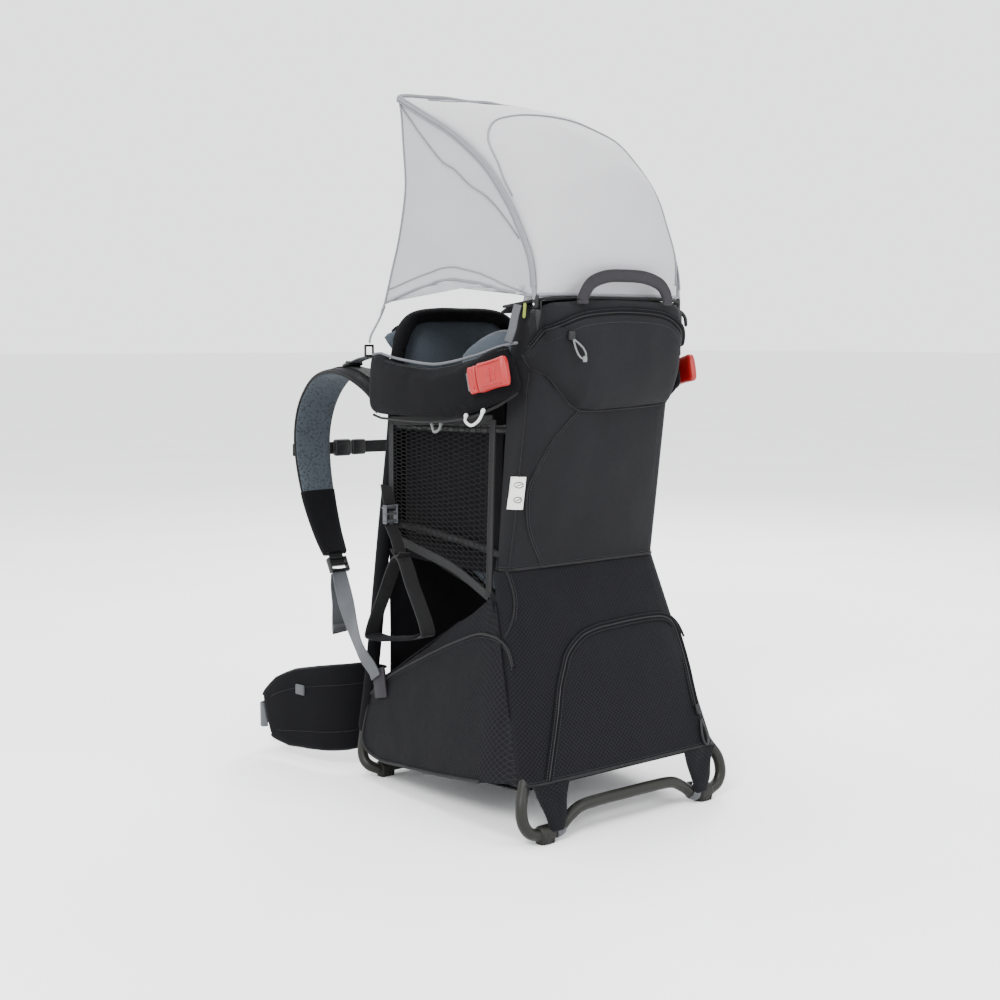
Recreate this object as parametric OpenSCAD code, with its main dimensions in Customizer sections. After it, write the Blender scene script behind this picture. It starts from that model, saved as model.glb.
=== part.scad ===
// Framed child carrier: a load-bearing tube frame with a fold-out stand, a padded
// cockpit for the child, a harness and hipbelt for the wearer, and a hooped sunshade.
// Millimetres. +X is the wearer's right, +Y is the way the wearer faces, +Z is up.
// The origin is on the ground, under the middle of the whole carrier.

/* [Frame] */
// Outer diameter of the main frame and stand tubes
tube_d = 16; // [14:1:17]
// Diameter of the four side rails
rail_d = 12; // [10:1:12]
// Diameter of the stand's pivot pins
pin_d = 8; // [6:1:9]
// Length of each foot cap along its tube
cap_len = 22; // [16:1:24]
// Width of the flat sole under each foot cap
cap_sole = 14; // [10:1:16]

/* [Fabric and padding] */
// Thickness of the pack's fabric walls
fabric_t = 3; // [2:0.5:3]
// Thickness of the sunshade fabric
shade_t = 2; // [1.5:0.5:2.5]
// Thickness of the padded side walls around the child
cockpit_t = 28; // [22:1:30]
// Thickness of the padded shoulder straps
strap_t = 14; // [10:1:14]
// Width of the padded shoulder straps
strap_w = 72; // [60:1:74]
// Thickness of the padded hipbelt wings
wing_t = 14; // [10:1:15]

/* [Webbing and buckles] */
// Thickness of all the webbing
web_t = 2; // [1.5:0.5:2]
// Width of the narrow webbing on the chest strap
chest_w = 20; // [18:1:20]
// Width of the webbing below the shoulder straps
lower_w = 25; // [20:1:25]
// Width of the hipbelt webbing
belt_w = 38; // [30:1:38]
// Width of the stirrup webbing
stirrup_w = 25; // [20:1:26]
// Height of the red release buckles
release_w = 40; // [34:1:42]

/* [Sunshade] */
// Diameter of the sunshade's hoops
pole_d = 5; // [4:0.5:5]
// How far the shade's crown stands above its side hoops
crown_h = 66; // [50:1:70]

/* [Hidden] */
$fn = 40;

// Colours
charcoal = [0.16, 0.165, 0.18];
slate = [0.30, 0.31, 0.33];
olive = [0.28, 0.28, 0.25];
pale = [0.84, 0.84, 0.85];
signal_red = [0.86, 0.29, 0.27];
rubber_black = [0.08, 0.08, 0.08];

// Middle of the whole carrier, measured forward from the rear foot
mid_y = 312.5;
gap = 0.4;
bearing_gap = 0.08;
tube_r = tube_d / 2;
far = 1000;

// Stand pivot: axis along X
pivot_y = 112;
pivot_z = 352;
hub_x = 103;
hub_w = 12;
eye_x = 118;
eye_w = 10;
eye_r = 11;

// Pack heights
waist_z = 345;
top_z = 700;

// Rear face of the pack above and below the waist, as a depth for each height
function rear_y(z) = 95 - 0.1915 * (z - waist_z);
function lower_rear_y(z) = 95 - 0.358 * (waist_z - z);
// Half width of the pack above and below the waist
function upper_x(z) = 140 - 0.0625 * (z - waist_z);
function lower_x(z) = 143 + 0.1245 * (waist_z - z);

// ---- Geometry helpers -------------------------------------------------------

function total(v) = v * [for (i = v) 1];
function unit(v) = v / norm(v);
function mix(a, b, t) = a + (b - a) * t;
function flip_x(p) = [-p[0], p[1], p[2]];

// A smooth curve through four points, between the middle two
function curve(a, b, c, d, t) =
    0.5 * (2 * b + (c - a) * t + (2 * a - 5 * b + 4 * c - d) * t * t
        + (3 * b - a - 3 * c + d) * t * t * t);

// An open smooth path through all the points, with n steps between each two
function spline(p, n) = concat(
    [for (i = [0:len(p) - 2], k = [0:n - 1])
        curve(p[max(i - 1, 0)], p[i], p[i + 1], p[min(i + 2, len(p) - 1)], k / n)],
    [p[len(p) - 1]]);

// A closed smooth path
function loop(p, n) = let (m = len(p))
    [for (i = [0:m - 1], k = [0:n - 1])
        curve(p[(i + m - 1) % m], p[i], p[(i + 1) % m], p[(i + 2) % m], k / n)];

// The half path for +X, from its middle outwards, made whole with its mirror image
function whole(half) = concat([for (i = [len(half) - 1:-1:1]) flip_x(half[i])], half);

// Profiles: first number across the thickness, second along the width
function round_profile(r, n = 12) = [for (i = [0:n - 1]) r * [cos(360 * i / n), sin(360 * i / n)]];
function flat_profile(t, w) = [[-t / 2, -w / 2], [t / 2, -w / 2], [t / 2, w / 2], [-t / 2, w / 2]];
function pad_profile(t, w, n = 12) = [for (i = [0:n - 1])
    let (a = 360 * (i + 0.5) / n, c = cos(a), s = sin(a))
    [sign(c) * pow(abs(c), 0.6) * t / 2, sign(s) * pow(abs(s), 0.6) * w / 2]];

// One profile set square to a path at point i, with its width turned towards up
function ring(path, i, profile, up, closed = false) =
    let (
        n = len(path),
        before = closed ? path[(i + n - 1) % n] : path[max(i - 1, 0)],
        after = closed ? path[(i + 1) % n] : path[min(i + 1, n - 1)],
        along = unit(after - before),
        side = unit(cross(along, up)),
        wide = cross(side, along))
    [for (q = profile) path[i] + side * q[0] + wide * q[1]];

// A solid from triangles, turned the right way out
module solid(points, faces) {
    volume = total([for (f = faces) points[f[0]] * cross(points[f[1]], points[f[2]])]);
    polyhedron(points, volume > 0 ? [for (f = faces) [f[2], f[1], f[0]]] : faces, convexity = 8);
}

// A skin over rings of equally many points. Strip ends suit rings that run out along
// one face of a sheet and back along the other.
module skin(rings, closed = false, strip = false) {
    n = len(rings);
    m = len(rings[0]);
    sides = [for (i = [0:n - (closed ? 1 : 2)], j = [0:m - 1])
        let (a = i * m + j, b = i * m + (j + 1) % m, up = (i + 1) % n * m)
        each [[a, b, up + (j + 1) % m], [a, up + (j + 1) % m, up + j]]];
    end = strip
        ? [for (j = [0:m / 2 - 2]) each [[j, j + 1, m - 2 - j], [j, m - 2 - j, m - 1 - j]]]
        : [for (j = [1:m - 2]) [0, j, j + 1]];
    caps = closed ? [] : [for (f = end) each [
        [f[2], f[1], f[0]], [for (k = f) (n - 1) * m + k]]];
    solid([for (r = rings) each r], concat(sides, caps));
}

module sweep(path, profile, up, closed = false)
    skin([for (i = [0:len(path) - 1]) ring(path, i, profile, up, closed)], closed);

// A sheet of thickness t behind a grid of points, set off along one direction
module sheet(grid, offset)
    skin([for (row = grid) concat(row, [for (j = [len(row) - 1:-1:0]) row[j] + offset])],
        strip = true);

// A four-cornered panel: a and b are the ends of its first edge, d and c of its last
function quad_grid(a, b, c, d, n = 3) =
    [for (i = [0:n]) [for (j = [0:n]) mix(mix(a, b, j / n), mix(d, c, j / n), i / n)]];

module place() translate([0, -mid_y, 0]) children();
module left() mirror([1, 0, 0]) children();
module both() {
    children();
    left() children();
}
module block(low, high) translate(low) cube(high - low);
module along_x(x0, x1, y, z) translate([x0, y, z]) rotate([90, 0, 90]) linear_extrude(x1 - x0) children();
module rod_x(x0, x1, y, z, r) translate([x0, y, z]) rotate([0, 90, 0]) cylinder(h = x1 - x0, r = r);

// ---- Frame ------------------------------------------------------------------

front_half = [
    [0, 378, 13], [60, 378, 13], [118, 378, 13], [134, 378, 13], [156, 378, 13],
    [160, 378, 13], [171, 385, 19], [174, 394, 29], [172, 399, 45], [168, 398, 75],
    [159, 394, 150], [149, 389, 260], [137, 386, 380], [125, 385, 480], [117, 385, 560],
    [113, 385, 630], [98, 385, 672], [70, 385, 689], [0, 385, 692]];
front_loop = concat(front_half,
    [for (i = [len(front_half) - 2:-1:1]) flip_x(front_half[i])]);

module front_frame() color(olive) place()
    sweep(loop(front_loop, 3), round_profile(tube_r), [0, 1, -1], closed = true);

module foot_cap(y, z) along_x(-cap_len / 2, cap_len / 2, y, z)
    difference() {
        union() {
            circle(r = tube_r + 3);
            translate([-cap_sole / 2, -z]) square([cap_sole, z]);
        }
        circle(r = tube_r + 0.2);
    }

module front_foot_caps() color(rubber_black) place() both() translate([145, 0, 0]) foot_cap(378, 13);

hoop_half = [
    [0, 46, 684], [60, 46, 684], [88, 48, 674], [100, 55, 645], [104, 68, 580],
    [107, 88, 480], [109, 103, 402], [109, 109, 377]];

module rear_hoop() color(olive) place()
    sweep(spline(whole(hoop_half), 3), round_profile(tube_r), [0, 1, 0]);

module pivot_hubs() color(rubber_black) place() both() difference() {
    union() {
        rod_x(hub_x, hub_x + hub_w, pivot_y, pivot_z, eye_r);
        block([hub_x, pivot_y - 10, pivot_z], [hub_x + hub_w, pivot_y + 10, pivot_z + 20]);
    }
    rod_x(hub_x - 1, hub_x + hub_w + 1, pivot_y, pivot_z, pin_d / 2 + bearing_gap);
}

module pivot_pins() color("silver") place() both() {
    rod_x(hub_x - 1, eye_x + eye_w + 1, pivot_y, pivot_z, pin_d / 2);
    rod_x(hub_x - 4, hub_x - gap, pivot_y, pivot_z, pin_d);
    rod_x(eye_x + eye_w + gap, eye_x + eye_w + 4, pivot_y, pivot_z, pin_d);
}

module upper_rails() color(olive) place() both()
    sweep(spline([[114, 92, 536], [119, 150, 533], [120, 260, 530], [119, 374, 528]], 3),
        round_profile(rail_d / 2), [0, 0, 1]);

module lower_rails() color(olive) place() both()
    sweep(spline([[109, 127, 357], [110, 180, 366], [119, 290, 378], [128, 375, 384]], 3),
        round_profile(rail_d / 2), [0, 0, 1]);

// ---- Fold-out stand ----------------------------------------------------------

stand_half = [
    [0, 0, 39], [50, 0, 39], [84, 0, 37], [104, 0, 28], [120, -1, 17], [132, -1, 13],
    [136, -1, 13], [158, -1, 13], [162, -1, 13], [176, -1, 20], [184, 1, 35], [186, 4, 56], [179, 12, 78],
    [162, 22, 106], [153, 42, 158], [144, 67, 230], [133, 92, 302], [125, 106, 336],
    [123, 109, 344]];

stand_path = spline(whole(stand_half), 3);
stand_up = [0, 1, 0.4];

module kickstand() color(olive) place() difference() {
    union() {
        sweep(stand_path, round_profile(tube_r), stand_up);
        both() rod_x(eye_x, eye_x + eye_w, pivot_y, pivot_z, eye_r);
    }
    both() {
        rod_x(eye_x - 10, eye_x + eye_w + 10, pivot_y, pivot_z, pin_d / 2 + bearing_gap);
        rod_x(hub_x - 1, eye_x - gap, pivot_y, pivot_z, eye_r + 2);
        rod_x(eye_x + eye_w + bearing_gap, eye_x + eye_w + 10, pivot_y, pivot_z, eye_r + 2);
    }
}

module rear_foot_caps() color(rubber_black) place() both() translate([147, 0, 0]) foot_cap(-1, 13);

// Cloth corners that tie the storage compartment down to the stand's feet
module stand_gussets() color(charcoal) place() both() translate([0, 3, 0]) rotate([90, 0, 0])
    linear_extrude(3) polygon([[108, 72], [168, 76], [138, 28], [122, 31]]);

// The stand's own path near the ground, between two distances from its middle
function stand_part(x0, x1) = [for (p = stand_path) if (p[2] < 60 && p[0] > x0 && p[0] < x1) p];

module gusset_clips() color(slate) place() both() difference() {
    sweep(stand_part(119, 133), round_profile(tube_r + 2.5), stand_up);
    sweep(stand_part(110, 140), round_profile(tube_r + gap), stand_up);
}

// Rear wall of the storage compartment, which folds with the stand
module storage_door() color(charcoal) place() {
    heights = [78, 110, 160, 210, 260, 310, 342];
    sheet([for (z = heights) [for (k = [-4:4]) let (w = lower_x(z) - 2)
        [w * k / 4, lower_rear_y(z), z]]], [0, fabric_t - 0.5, 0]);
}

// The zip slider and its pull lie flat on the sloping rear wall
module storage_zip_pull() color(slate) place()
    translate([151, lower_rear_y(131) - 1, 131]) rotate([-atan(0.358), 0, 0]) {
        block([-5, -5, -7], [5, 0, 7]);
        block([-3.5, -6.5, -50], [3.5, -4, -4]);
    }

// ---- Storage compartment ------------------------------------------------------

module storage_side() sheet(quad_grid(
    [lower_x(300), 116, 300], [lower_x(84), 30, 84], [lower_x(52) - 4, 372, 50],
    [lower_x(150) - 2, 372, 150], 4), [-fabric_t, 0, 0]);

module storage_bag() color(charcoal) place() {
    both() storage_side();
    sheet(quad_grid([-150, 30, 66], [150, 30, 66], [158, 366, 44], [-158, 366, 44]), [0, 0, fabric_t]);
}

module storage_deck() color(charcoal) place()
    sheet(quad_grid([-146, 186, 260], [146, 186, 260], [152, 372, 146], [-152, 372, 146]),
        [0, 0, fabric_t]);

// ---- Pack body ------------------------------------------------------------------

// One level of the rear shell: a U with round corners, out along its outer face
// and back along its inner face
shell_r = 14;
shell_front = 110;
function shell_line(x, y, r) = concat(
    [[x, shell_front]], [for (a = [0:22.5:90]) [x - r + r * cos(a), y + r - r * sin(a)]]);
function shell_ring(z) =
    let (
        x = upper_x(z),
        y = rear_y(z),
        outer = shell_line(x, y, shell_r),
        inner = shell_line(x - fabric_t, y + fabric_t, shell_r - fabric_t),
        n = len(outer))
    [for (p = concat(
        outer, [for (i = [n - 1:-1:0]) [-outer[i][0], outer[i][1]]],
        [for (i = [0:n - 1]) [-inner[i][0], inner[i][1]]], [for (i = [n - 1:-1:0]) inner[i]]))
        [p[0], p[1], z]];

module rear_panel() color(charcoal) place()
    skin([for (z = [waist_z + 1, top_z - 2]) shell_ring(z)], strip = true);

module top_panel() color(charcoal) place() translate([0, 0, top_z - 1]) linear_extrude(4)
    hull() for (x = [-94, 94], y = [52, 92]) translate([x, y]) circle(r = 20, $fn = 32);

// Top pocket: a bulge on the rear face, closed by an arched zip
pocket_w = 112;
pocket_low = 598;
function pocket_ring(x) =
    let (
        k = sqrt(max(0, 1 - pow(abs(x) / pocket_w, 2.6))),
        y = function(z, out) rear_y(z) - 0.5 - out * k - 1)
    [[x, rear_y(pocket_low) - 0.5, pocket_low], [x, y(pocket_low + 10, 22), pocket_low + 10],
        [x, y(636, 27), 636], [x, y(660, 24), 660], [x, y(680, 13), 680],
        [x, y(696, 4), 696], [x, rear_y(696) - 0.5, 696]];

module top_pocket() color(charcoal) place()
    skin([for (x = [-pocket_w:pocket_w / 8:pocket_w]) pocket_ring(x)]);

// The zip runs round this arc, and the slider's pull points at the arc's centre
zip_arc_r = 170;
zip_arc_z = 521;
zip_start = -35;

module top_zip_pull() color(slate) place()
    translate([0, 0, zip_arc_z]) rotate([0, zip_start, 0]) translate([0, 0, zip_arc_r]) {
        block([-5, 7, -4], [5, 14.5, 4]);
        block([-3, 4, -28], [3, 7.5, 2]);
    }

module back_panel() color(charcoal) place() {
    path = spline([[0, 403, 120], [0, 403, 260], [0, 403, 420], [0, 403, 596]], 2);
    sweep(path, pad_profile(17, 252), [1, 0, 0]);
}

module lumbar_pad() color(slate) place()
    sweep([[0, 421, 60], [0, 421, 120], [0, 421, 175], [0, 421, 215]], pad_profile(16, 206), [1, 0, 0]);

// ---- Cockpit ----------------------------------------------------------------------

// Middle line and height of a padded side wall, from rear to front
wall_line = [[144, 64, 618], [151, 96, 606], [155, 150, 591], [156, 230, 581],
    [152, 320, 583], [145, 380, 587], [141, 408, 588]];
wall_h = [66, 78, 82, 80, 88, 96, 90];

module cockpit_pad() {
    path = spline(wall_line, 2);
    skin([for (i = [0:len(path) - 1])
        let (k = i / 2, h = mix(wall_h[floor(k)], wall_h[ceil(k)], k - floor(k)))
        ring(path, i, pad_profile(cockpit_t, h), [0, 0, 1])]);
}

module cockpit_pad_left() color(charcoal) place() left() cockpit_pad();
module cockpit_pad_right() color(charcoal) place() cockpit_pad();

module cockpit_pad_front() color(slate) place()
    sweep(spline(whole([[0, 403, 655], [50, 403, 653], [96, 402, 642], [110, 402, 634]]), 2),
        pad_profile(15, 68), [0, 0, 1]);

// Padded wings beside the child's head, at the rear of the cockpit
module head_wings() color(slate) place() both()
    sweep(spline([[96, 124, 640], [105, 150, 636], [108, 190, 624], [106, 226, 610]], 2),
        pad_profile(12, 62), [0, 0, 1]);

module side_mesh() sheet(quad_grid(
    [137, 124, 548], [144, 124, 308], [138, 368, 366], [137, 368, 536]), [-2, 0, 0]);

module side_mesh_left() color(slate) place() left() side_mesh();
module side_mesh_right() color(slate) place() side_mesh();

// ---- Child's seat -------------------------------------------------------------------

module seat_back() color(slate) place()
    sweep(spline([[0, 148, 316], [0, 142, 400], [0, 138, 500], [0, 136, 584]], 2),
        pad_profile(16, 172), [1, 0, 0]);

module seat_base() color(slate) place() {
    path = spline([[0, 162, 306], [0, 220, 300], [0, 280, 302], [0, 322, 318]], 2);
    widths = [150, 132, 104, 82, 70, 66, 64];
    skin([for (i = [0:len(path) - 1]) ring(path, i, pad_profile(16, widths[i]), [1, 0, 0])]);
}

module child_harness() color(rubber_black) place() both()
    sweep(spline([[46, 150, 560], [44, 170, 536], [38, 206, 480], [26, 228, 420], [16, 240, 376],
        [13, 236, 330], [12, 232, 313]], 2), flat_profile(web_t, 22), [1, 0, 0]);

module child_buckle() color(rubber_black) place() translate([0, 219, 446]) rotate([20, 0, 0])
    difference() {
        block([-44, -5, -15], [44, 5, 15]);
        for (x = [-46, 12]) block([x, -2.5, -far], [x + 34, 2.5, far]);
    }

// ---- Stirrups --------------------------------------------------------------------------

module stirrup() {
    sweep(spline([[150, 352, 384], [152, 334, 364], [155, 320, 346]], 3),
        flat_profile(web_t, stirrup_w * 0.8), [1, 0, 0]);
    sweep(loop([[156, 319, 342], [164, 352, 278], [169, 374, 228], [170, 366, 216],
        [171, 300, 226], [171, 240, 238], [170, 232, 250], [163, 276, 302]], 4),
        flat_profile(web_t * 1.5, stirrup_w), [1, 0, 0], closed = true);
}

module stirrup_left() color(slate) place() left() stirrup();
module stirrup_right() color(slate) place() stirrup();

module stirrup_locks() color(rubber_black) place() both() translate([0, 352, 400]) difference() {
    block([139, -5, -14], [161, 5, 14]);
    block([142, -far, -9], [158, far, -4]);
    block([142, -far, 3], [158, far, 8]);
}

// ---- Release buckles on the cockpit walls ---------------------------------------------

// Each buckle lies along its wall, rises to the rear and opens out to the front
release_tilt = 13;
release_splay = 6;
module on_wall() translate([166, 88, 608]) rotate([-release_tilt, 0, -release_splay]) children();

module release_buckles() color(signal_red) place() both() on_wall() difference() {
    hull() for (y = [-30, 12], z = [-1, 1]) translate([0, y, z * (release_w / 2 - 6)])
        rotate([0, 90, 0]) cylinder(h = 13, r = 6, $fn = 32);
    block([3, -24, 5 - release_w / 2], [10, far, release_w / 2 - 5]);
}

module release_tongue() on_wall() {
    block([4, -20, -release_w / 2 + 12], [9, 19, release_w / 2 - 12]);
    for (z = [-1, 1]) block([4, -18, z * (release_w / 2 - 8) - 2], [9, 19, z * (release_w / 2 - 8) + 2]);
    block([1.5, 19, -release_w / 2], [12, 34, release_w / 2]);
}

module release_tongue_left() color(signal_red) place() left() release_tongue();
module release_tongue_right() color(signal_red) place() release_tongue();

module gear_loops() color(pale) place() both() {
    sweep(spline([[165, 108, 561], [167, 116, 548], [167, 132, 541], [166, 146, 546], [165, 146, 553]], 3),
        round_profile(2, 8), [1, 0, 0]);
    sweep(spline([[150, 224, 538.5], [151, 228, 530], [151, 240, 527], [150, 246, 538]], 3),
        round_profile(2, 8), [1, 0, 0]);
}

// ---- Hipbelt ---------------------------------------------------------------------------

wing_line = [[112, 424, 100], [148, 431, 99], [177, 446, 96], [195, 476, 91], [207, 518, 84],
    [217, 560, 73], [223, 598, 61]];
wing_h = [112, 132, 132, 128, 116, 96, 46];

module hipbelt_wing() {
    path = spline(wing_line, 2);
    skin([for (i = [0:len(path) - 1])
        let (k = i / 2, h = mix(wing_h[floor(k)], wing_h[ceil(k)], k - floor(k)))
        ring(path, i, pad_profile(wing_t, h), [0, 0, 1])]);
}

module hipbelt_left() color(charcoal) place() left() hipbelt_wing();
module hipbelt_right() color(charcoal) place() hipbelt_wing();

belt_y = 630;
belt_z = 57;

module hipbelt_webbing() color(slate) place() {
    left() sweep(spline([[224, 603, 60], [226, 612, 58], [220, 625, 57], [203, 630, 57],
        [150, 630, 57], [96, 630, 57], [45.5, 630, 57]], 3), flat_profile(web_t, belt_w), [0, 0, 1]);
    sweep(spline([[224, 603, 60], [225, 610, 58], [219, 619, 57], [207, 622, 57], [193.5, 622.5, 57]], 3),
        flat_profile(web_t, belt_w), [0, 0, 1]);
}

module hipbelt_socket() color(rubber_black) place() translate([0, belt_y, belt_z]) difference() {
    block([-45, -7, -25], [0, 7, 25]);
    block([-38, -4.5, -21], [far, 4.5, 21]);
}

module hipbelt_clip() color(rubber_black) place() translate([0, belt_y, belt_z]) {
    block([-32, -3.5, -7], [1, 3.5, 7]);
    for (z = [-1, 1]) block([-34, -3.5, z * 16 - 3], [1, 3.5, z * 16 + 3]);
    block([gap, -6, -23], [34, 6, 23]);
    block([34, -web_t / 2, -belt_w / 2], [204, web_t / 2, belt_w / 2]);
}

module hipbelt_adjuster() color(rubber_black) place() difference() {
    block([176, 618, belt_z - 25], [193, belt_y + 5, belt_z + 25]);
    block([175, belt_y - web_t / 2 - 0.6, belt_z - belt_w / 2 - 1],
        [194, belt_y + web_t / 2 + 0.6, belt_z + belt_w / 2 + 1]);
}

// ---- Shoulder harness ---------------------------------------------------------------------

module harness_yoke() color(slate) place() translate([0, 412.5, 562]) rotate([-90, 0, 0])
    linear_extrude(4) hull() for (x = [-96, 96], y = [-24, 24]) translate([x, y]) circle(r = 14, $fn = 32);

strap_line = [[88, 427, 558], [99, 449, 582], [112, 480, 600], [120, 513, 605], [124, 556, 593],
    [124, 596, 556], [124, 615, 508], [122, 616, 455], [121, 602, 400], [120, 580, 350],
    [120, 557, 316]];

module shoulder_strap() sweep(spline(strap_line, 3), pad_profile(strap_t, strap_w), [1, 0, 0]);
module shoulder_strap_left() color(charcoal) place() left() shoulder_strap();
module shoulder_strap_right() color(charcoal) place() shoulder_strap();

module load_lifters() color(slate) place() both()
    sweep(spline([[104, 413.5, 628], [110, 440, 630], [118, 470, 626], [120, 500, 617.5]], 3),
        flat_profile(web_t, 20), [1, 0, 0]);

module ladder_locks() color(rubber_black) place() both() translate([120, 548, 299]) rotate([-30, 0, 0])
    difference() {
        block([-17, -5, -13], [17, 5, 12]);
        block([-14, -far, -8], [14, far, -3]);
        block([-14, -far, 2], [14, far, 7]);
    }

// The webbing turns from lying across to lying flat against the pack's side
module lower_straps() color(slate) place() both() {
    path = spline([[121, 540, 283], [136, 500, 250], [160, 440, 216], [177, 390, 190],
        [178.5, 362, 172], [178.5, 352, 160]], 3);
    n = len(path) - 1;
    skin([for (i = [0:n]) ring(path, i, flat_profile(web_t, lower_w),
        mix([1, 0, 0], [0, 0.5, -1], min(1, 1.4 * i / n)))]);
}

module strap_anchors() color(slate) place() both() sheet(quad_grid(
    [172, 338, 176], [172, 368, 166], [172, 360, 126], [172, 330, 136], 1), [4, 0, 0]);

chest_y = 629;
chest_z = 478;

// Fixed half of the chest strap, and the ring that the other half slides through
module sternum_strap() color(slate) place() {
    block([-152, chest_y - 1, chest_z - chest_w / 2], [-75.5, chest_y + 1, chest_z + chest_w / 2]);
    difference() {
        block([112, chest_y - 3.4, chest_z - 14], [128, chest_y + 4, chest_z + 14]);
        block([111, chest_y - web_t / 2 - 0.5, chest_z - chest_w / 2 - 0.6],
            [129, chest_y + web_t / 2 + 0.5, chest_z + chest_w / 2 + 0.6]);
    }
}

module sternum_socket() color(rubber_black) place() translate([-42, chest_y, chest_z]) difference() {
    block([-33, -6, -14], [0, 6, 14]);
    block([-28, -3.5, -11], [far, 3.5, 11]);
}

module sternum_clip() color(rubber_black) place() translate([-42, chest_y, chest_z]) {
    block([-24, -2.8, -4], [1, 2.8, 4]);
    for (z = [-1, 1]) block([-25, -2.8, z * 8 - 2], [1, 2.8, z * 8 + 2]);
    block([gap, -5, -13], [28, 5, 13]);
    block([28, -web_t / 2, -chest_w / 2], [194, web_t / 2, chest_w / 2]);
}

// ---- Sunshade -------------------------------------------------------------------------------

// Side hoop, from its pivot behind the child to the brim in front
shade_x = 130;
shade_line = spline([[shade_x, 45, 708], [shade_x, 54, 760], [shade_x, 84, 812], [shade_x, 107, 842],
    [shade_x, 152, 888], [shade_x, 221, 934], [shade_x, 290, 968], [shade_x, 353, 998]], 2);
shade_n = len(shade_line) - 1;

// Across the shade, the fabric arches away from the hoops, most in the middle of its length
function shade_out(i) = let (
    a = shade_line[max(i - 1, 0)],
    b = shade_line[min(i + 1, shade_n)],
    along = unit(b - a))
    [0, -along[2], along[1]];
function shade_arch(i) = 6 + (crown_h - 6) * pow(sin(180 * pow(i / shade_n, 0.85)), 1.2);
function shade_point(i, k) =
    let (x = (shade_x - pole_d / 2 - 1.2) * k, lift = sqrt(max(0, 1 - pow(abs(k), 2.4))))
    [x, shade_line[i][1], shade_line[i][2]] + shade_out(i) * (shade_arch(i) * lift);

// The brim hoop runs just in front of the fabric's edge and joins the side hoops
function shade_end(k) = let (
    along = [0, shade_out(shade_n)[2], -shade_out(shade_n)[1]],
    edge = abs(k) < 1 ? shade_point(shade_n, k) - shade_out(shade_n) : shade_line[shade_n])
    [abs(k) < 1 ? edge[0] : shade_x * k, edge[1], edge[2]] + along * (abs(k) < 1 ? pole_d / 2 + 1.4 : 1);

module canopy_roof() color(pale) place()
    skin([for (i = [0:shade_n])
        concat([for (k = [-6:6]) shade_point(i, k / 6)],
            [for (k = [6:-1:-6]) shade_point(i, k / 6) - shade_t * shade_out(i)])], strip = true);

module canopy_curtains() color(pale) place() both() {
    inner = [for (i = [2:shade_n]) [shade_line[i][1], shade_line[i][2]]
        - (pole_d / 2 + 1) * [shade_out(i)[1], shade_out(i)[2]]];
    hem = [[351, 980], [337, 880], [357, 796], [391, 708], [310, 728], [243, 738], [160, 730], [106, 718]];
    translate([shade_x - 1, 0, 0]) rotate([90, 0, 90]) linear_extrude(shade_t)
        polygon(concat(inner, hem));
}

module canopy_hoops() color(slate) place() {
    both() {
        sweep(shade_line, round_profile(pole_d / 2, 8), [1, 0, 0]);
        difference() {
            union() {
                rod_x(shade_x - 6, shade_x + 2, 45, top_z, 5);
                translate([shade_x, 45, top_z + 3]) cylinder(h = 7, r = pole_d / 2 + 0.8);
            }
            rod_x(shade_x - 7, shade_x + 3, 45, top_z, 2 + bearing_gap);
        }
    }
    brim = concat([shade_end(-1)], [for (k = [-5:5]) shade_end(k / 6)], [shade_end(1)]);
    sweep(brim, round_profile(pole_d / 2, 8), [0, 1, 0]);
}

module canopy_sockets() color(rubber_black) place() both() {
    block([120.5, 37, 662], [132, 53, top_z - 6]);
    block([120.5, 40, top_z - 6], [shade_x - 6.5, 50, top_z + 5]);
    rod_x(120.5, shade_x + 1.5, 45, top_z, 2);
}

module canopy_ties() color(pale) place() both() {
    sweep(spline([[shade_x, 392, 705], [134, 402, 684], [140, 414, 662], [141, 418, 650]], 3),
        flat_profile(web_t, 12), [1, 0, 0]);
    translate([141, 419, 638]) difference() {
        block([-8, -2, -9], [8, 2, 10]);
        block([-5, -far, -6], [5, far, -1]);
    }
}

// ---- Grab handle -----------------------------------------------------------------------------

handle_x = 76;
handle_y = 12;

module grab_handle() color(slate) place() {
    sweep(spline(whole([[0, handle_y, 738], [34, handle_y, 737], [58, handle_y, 730],
        [70, handle_y, 718], [handle_x, handle_y, 704]]), 3), pad_profile(17, 5), [0, 1, 0]);
    both() rod_x(handle_x - 9, handle_x + 9, handle_y, 703.5, 3);
}

// ---- The carrier ---------------------------------------------------------------------------------

front_frame();
front_foot_caps();
rear_hoop();
pivot_hubs();
pivot_pins();
upper_rails();
lower_rails();
back_panel();
lumbar_pad();
rear_panel();
top_panel();
top_pocket();
top_zip_pull();
cockpit_pad_left();
cockpit_pad_right();
cockpit_pad_front();
head_wings();
side_mesh_left();
side_mesh_right();
storage_bag();
storage_deck();
storage_door();
storage_zip_pull();
kickstand();
rear_foot_caps();
stand_gussets();
gusset_clips();
hipbelt_left();
hipbelt_right();
hipbelt_webbing();
hipbelt_socket();
hipbelt_clip();
hipbelt_adjuster();
harness_yoke();
shoulder_strap_left();
shoulder_strap_right();
load_lifters();
ladder_locks();
lower_straps();
strap_anchors();
sternum_strap();
sternum_socket();
sternum_clip();
canopy_roof();
canopy_curtains();
canopy_hoops();
canopy_sockets();
canopy_ties();
grab_handle();
stirrup_left();
stirrup_right();
stirrup_locks();
release_buckles();
release_tongue_left();
release_tongue_right();
seat_back();
seat_base();
child_harness();
child_buckle();
gear_loops();
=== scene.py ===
"""Looks of a framed child carrier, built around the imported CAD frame.

Lengths in this file are millimetres in part.scad's own layout, with Y measured forward from the
rear feet, and metres() brings them into the row frame.
"""

import math

import bmesh
import bpy
import numpy as np
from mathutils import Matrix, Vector, noise


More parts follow.
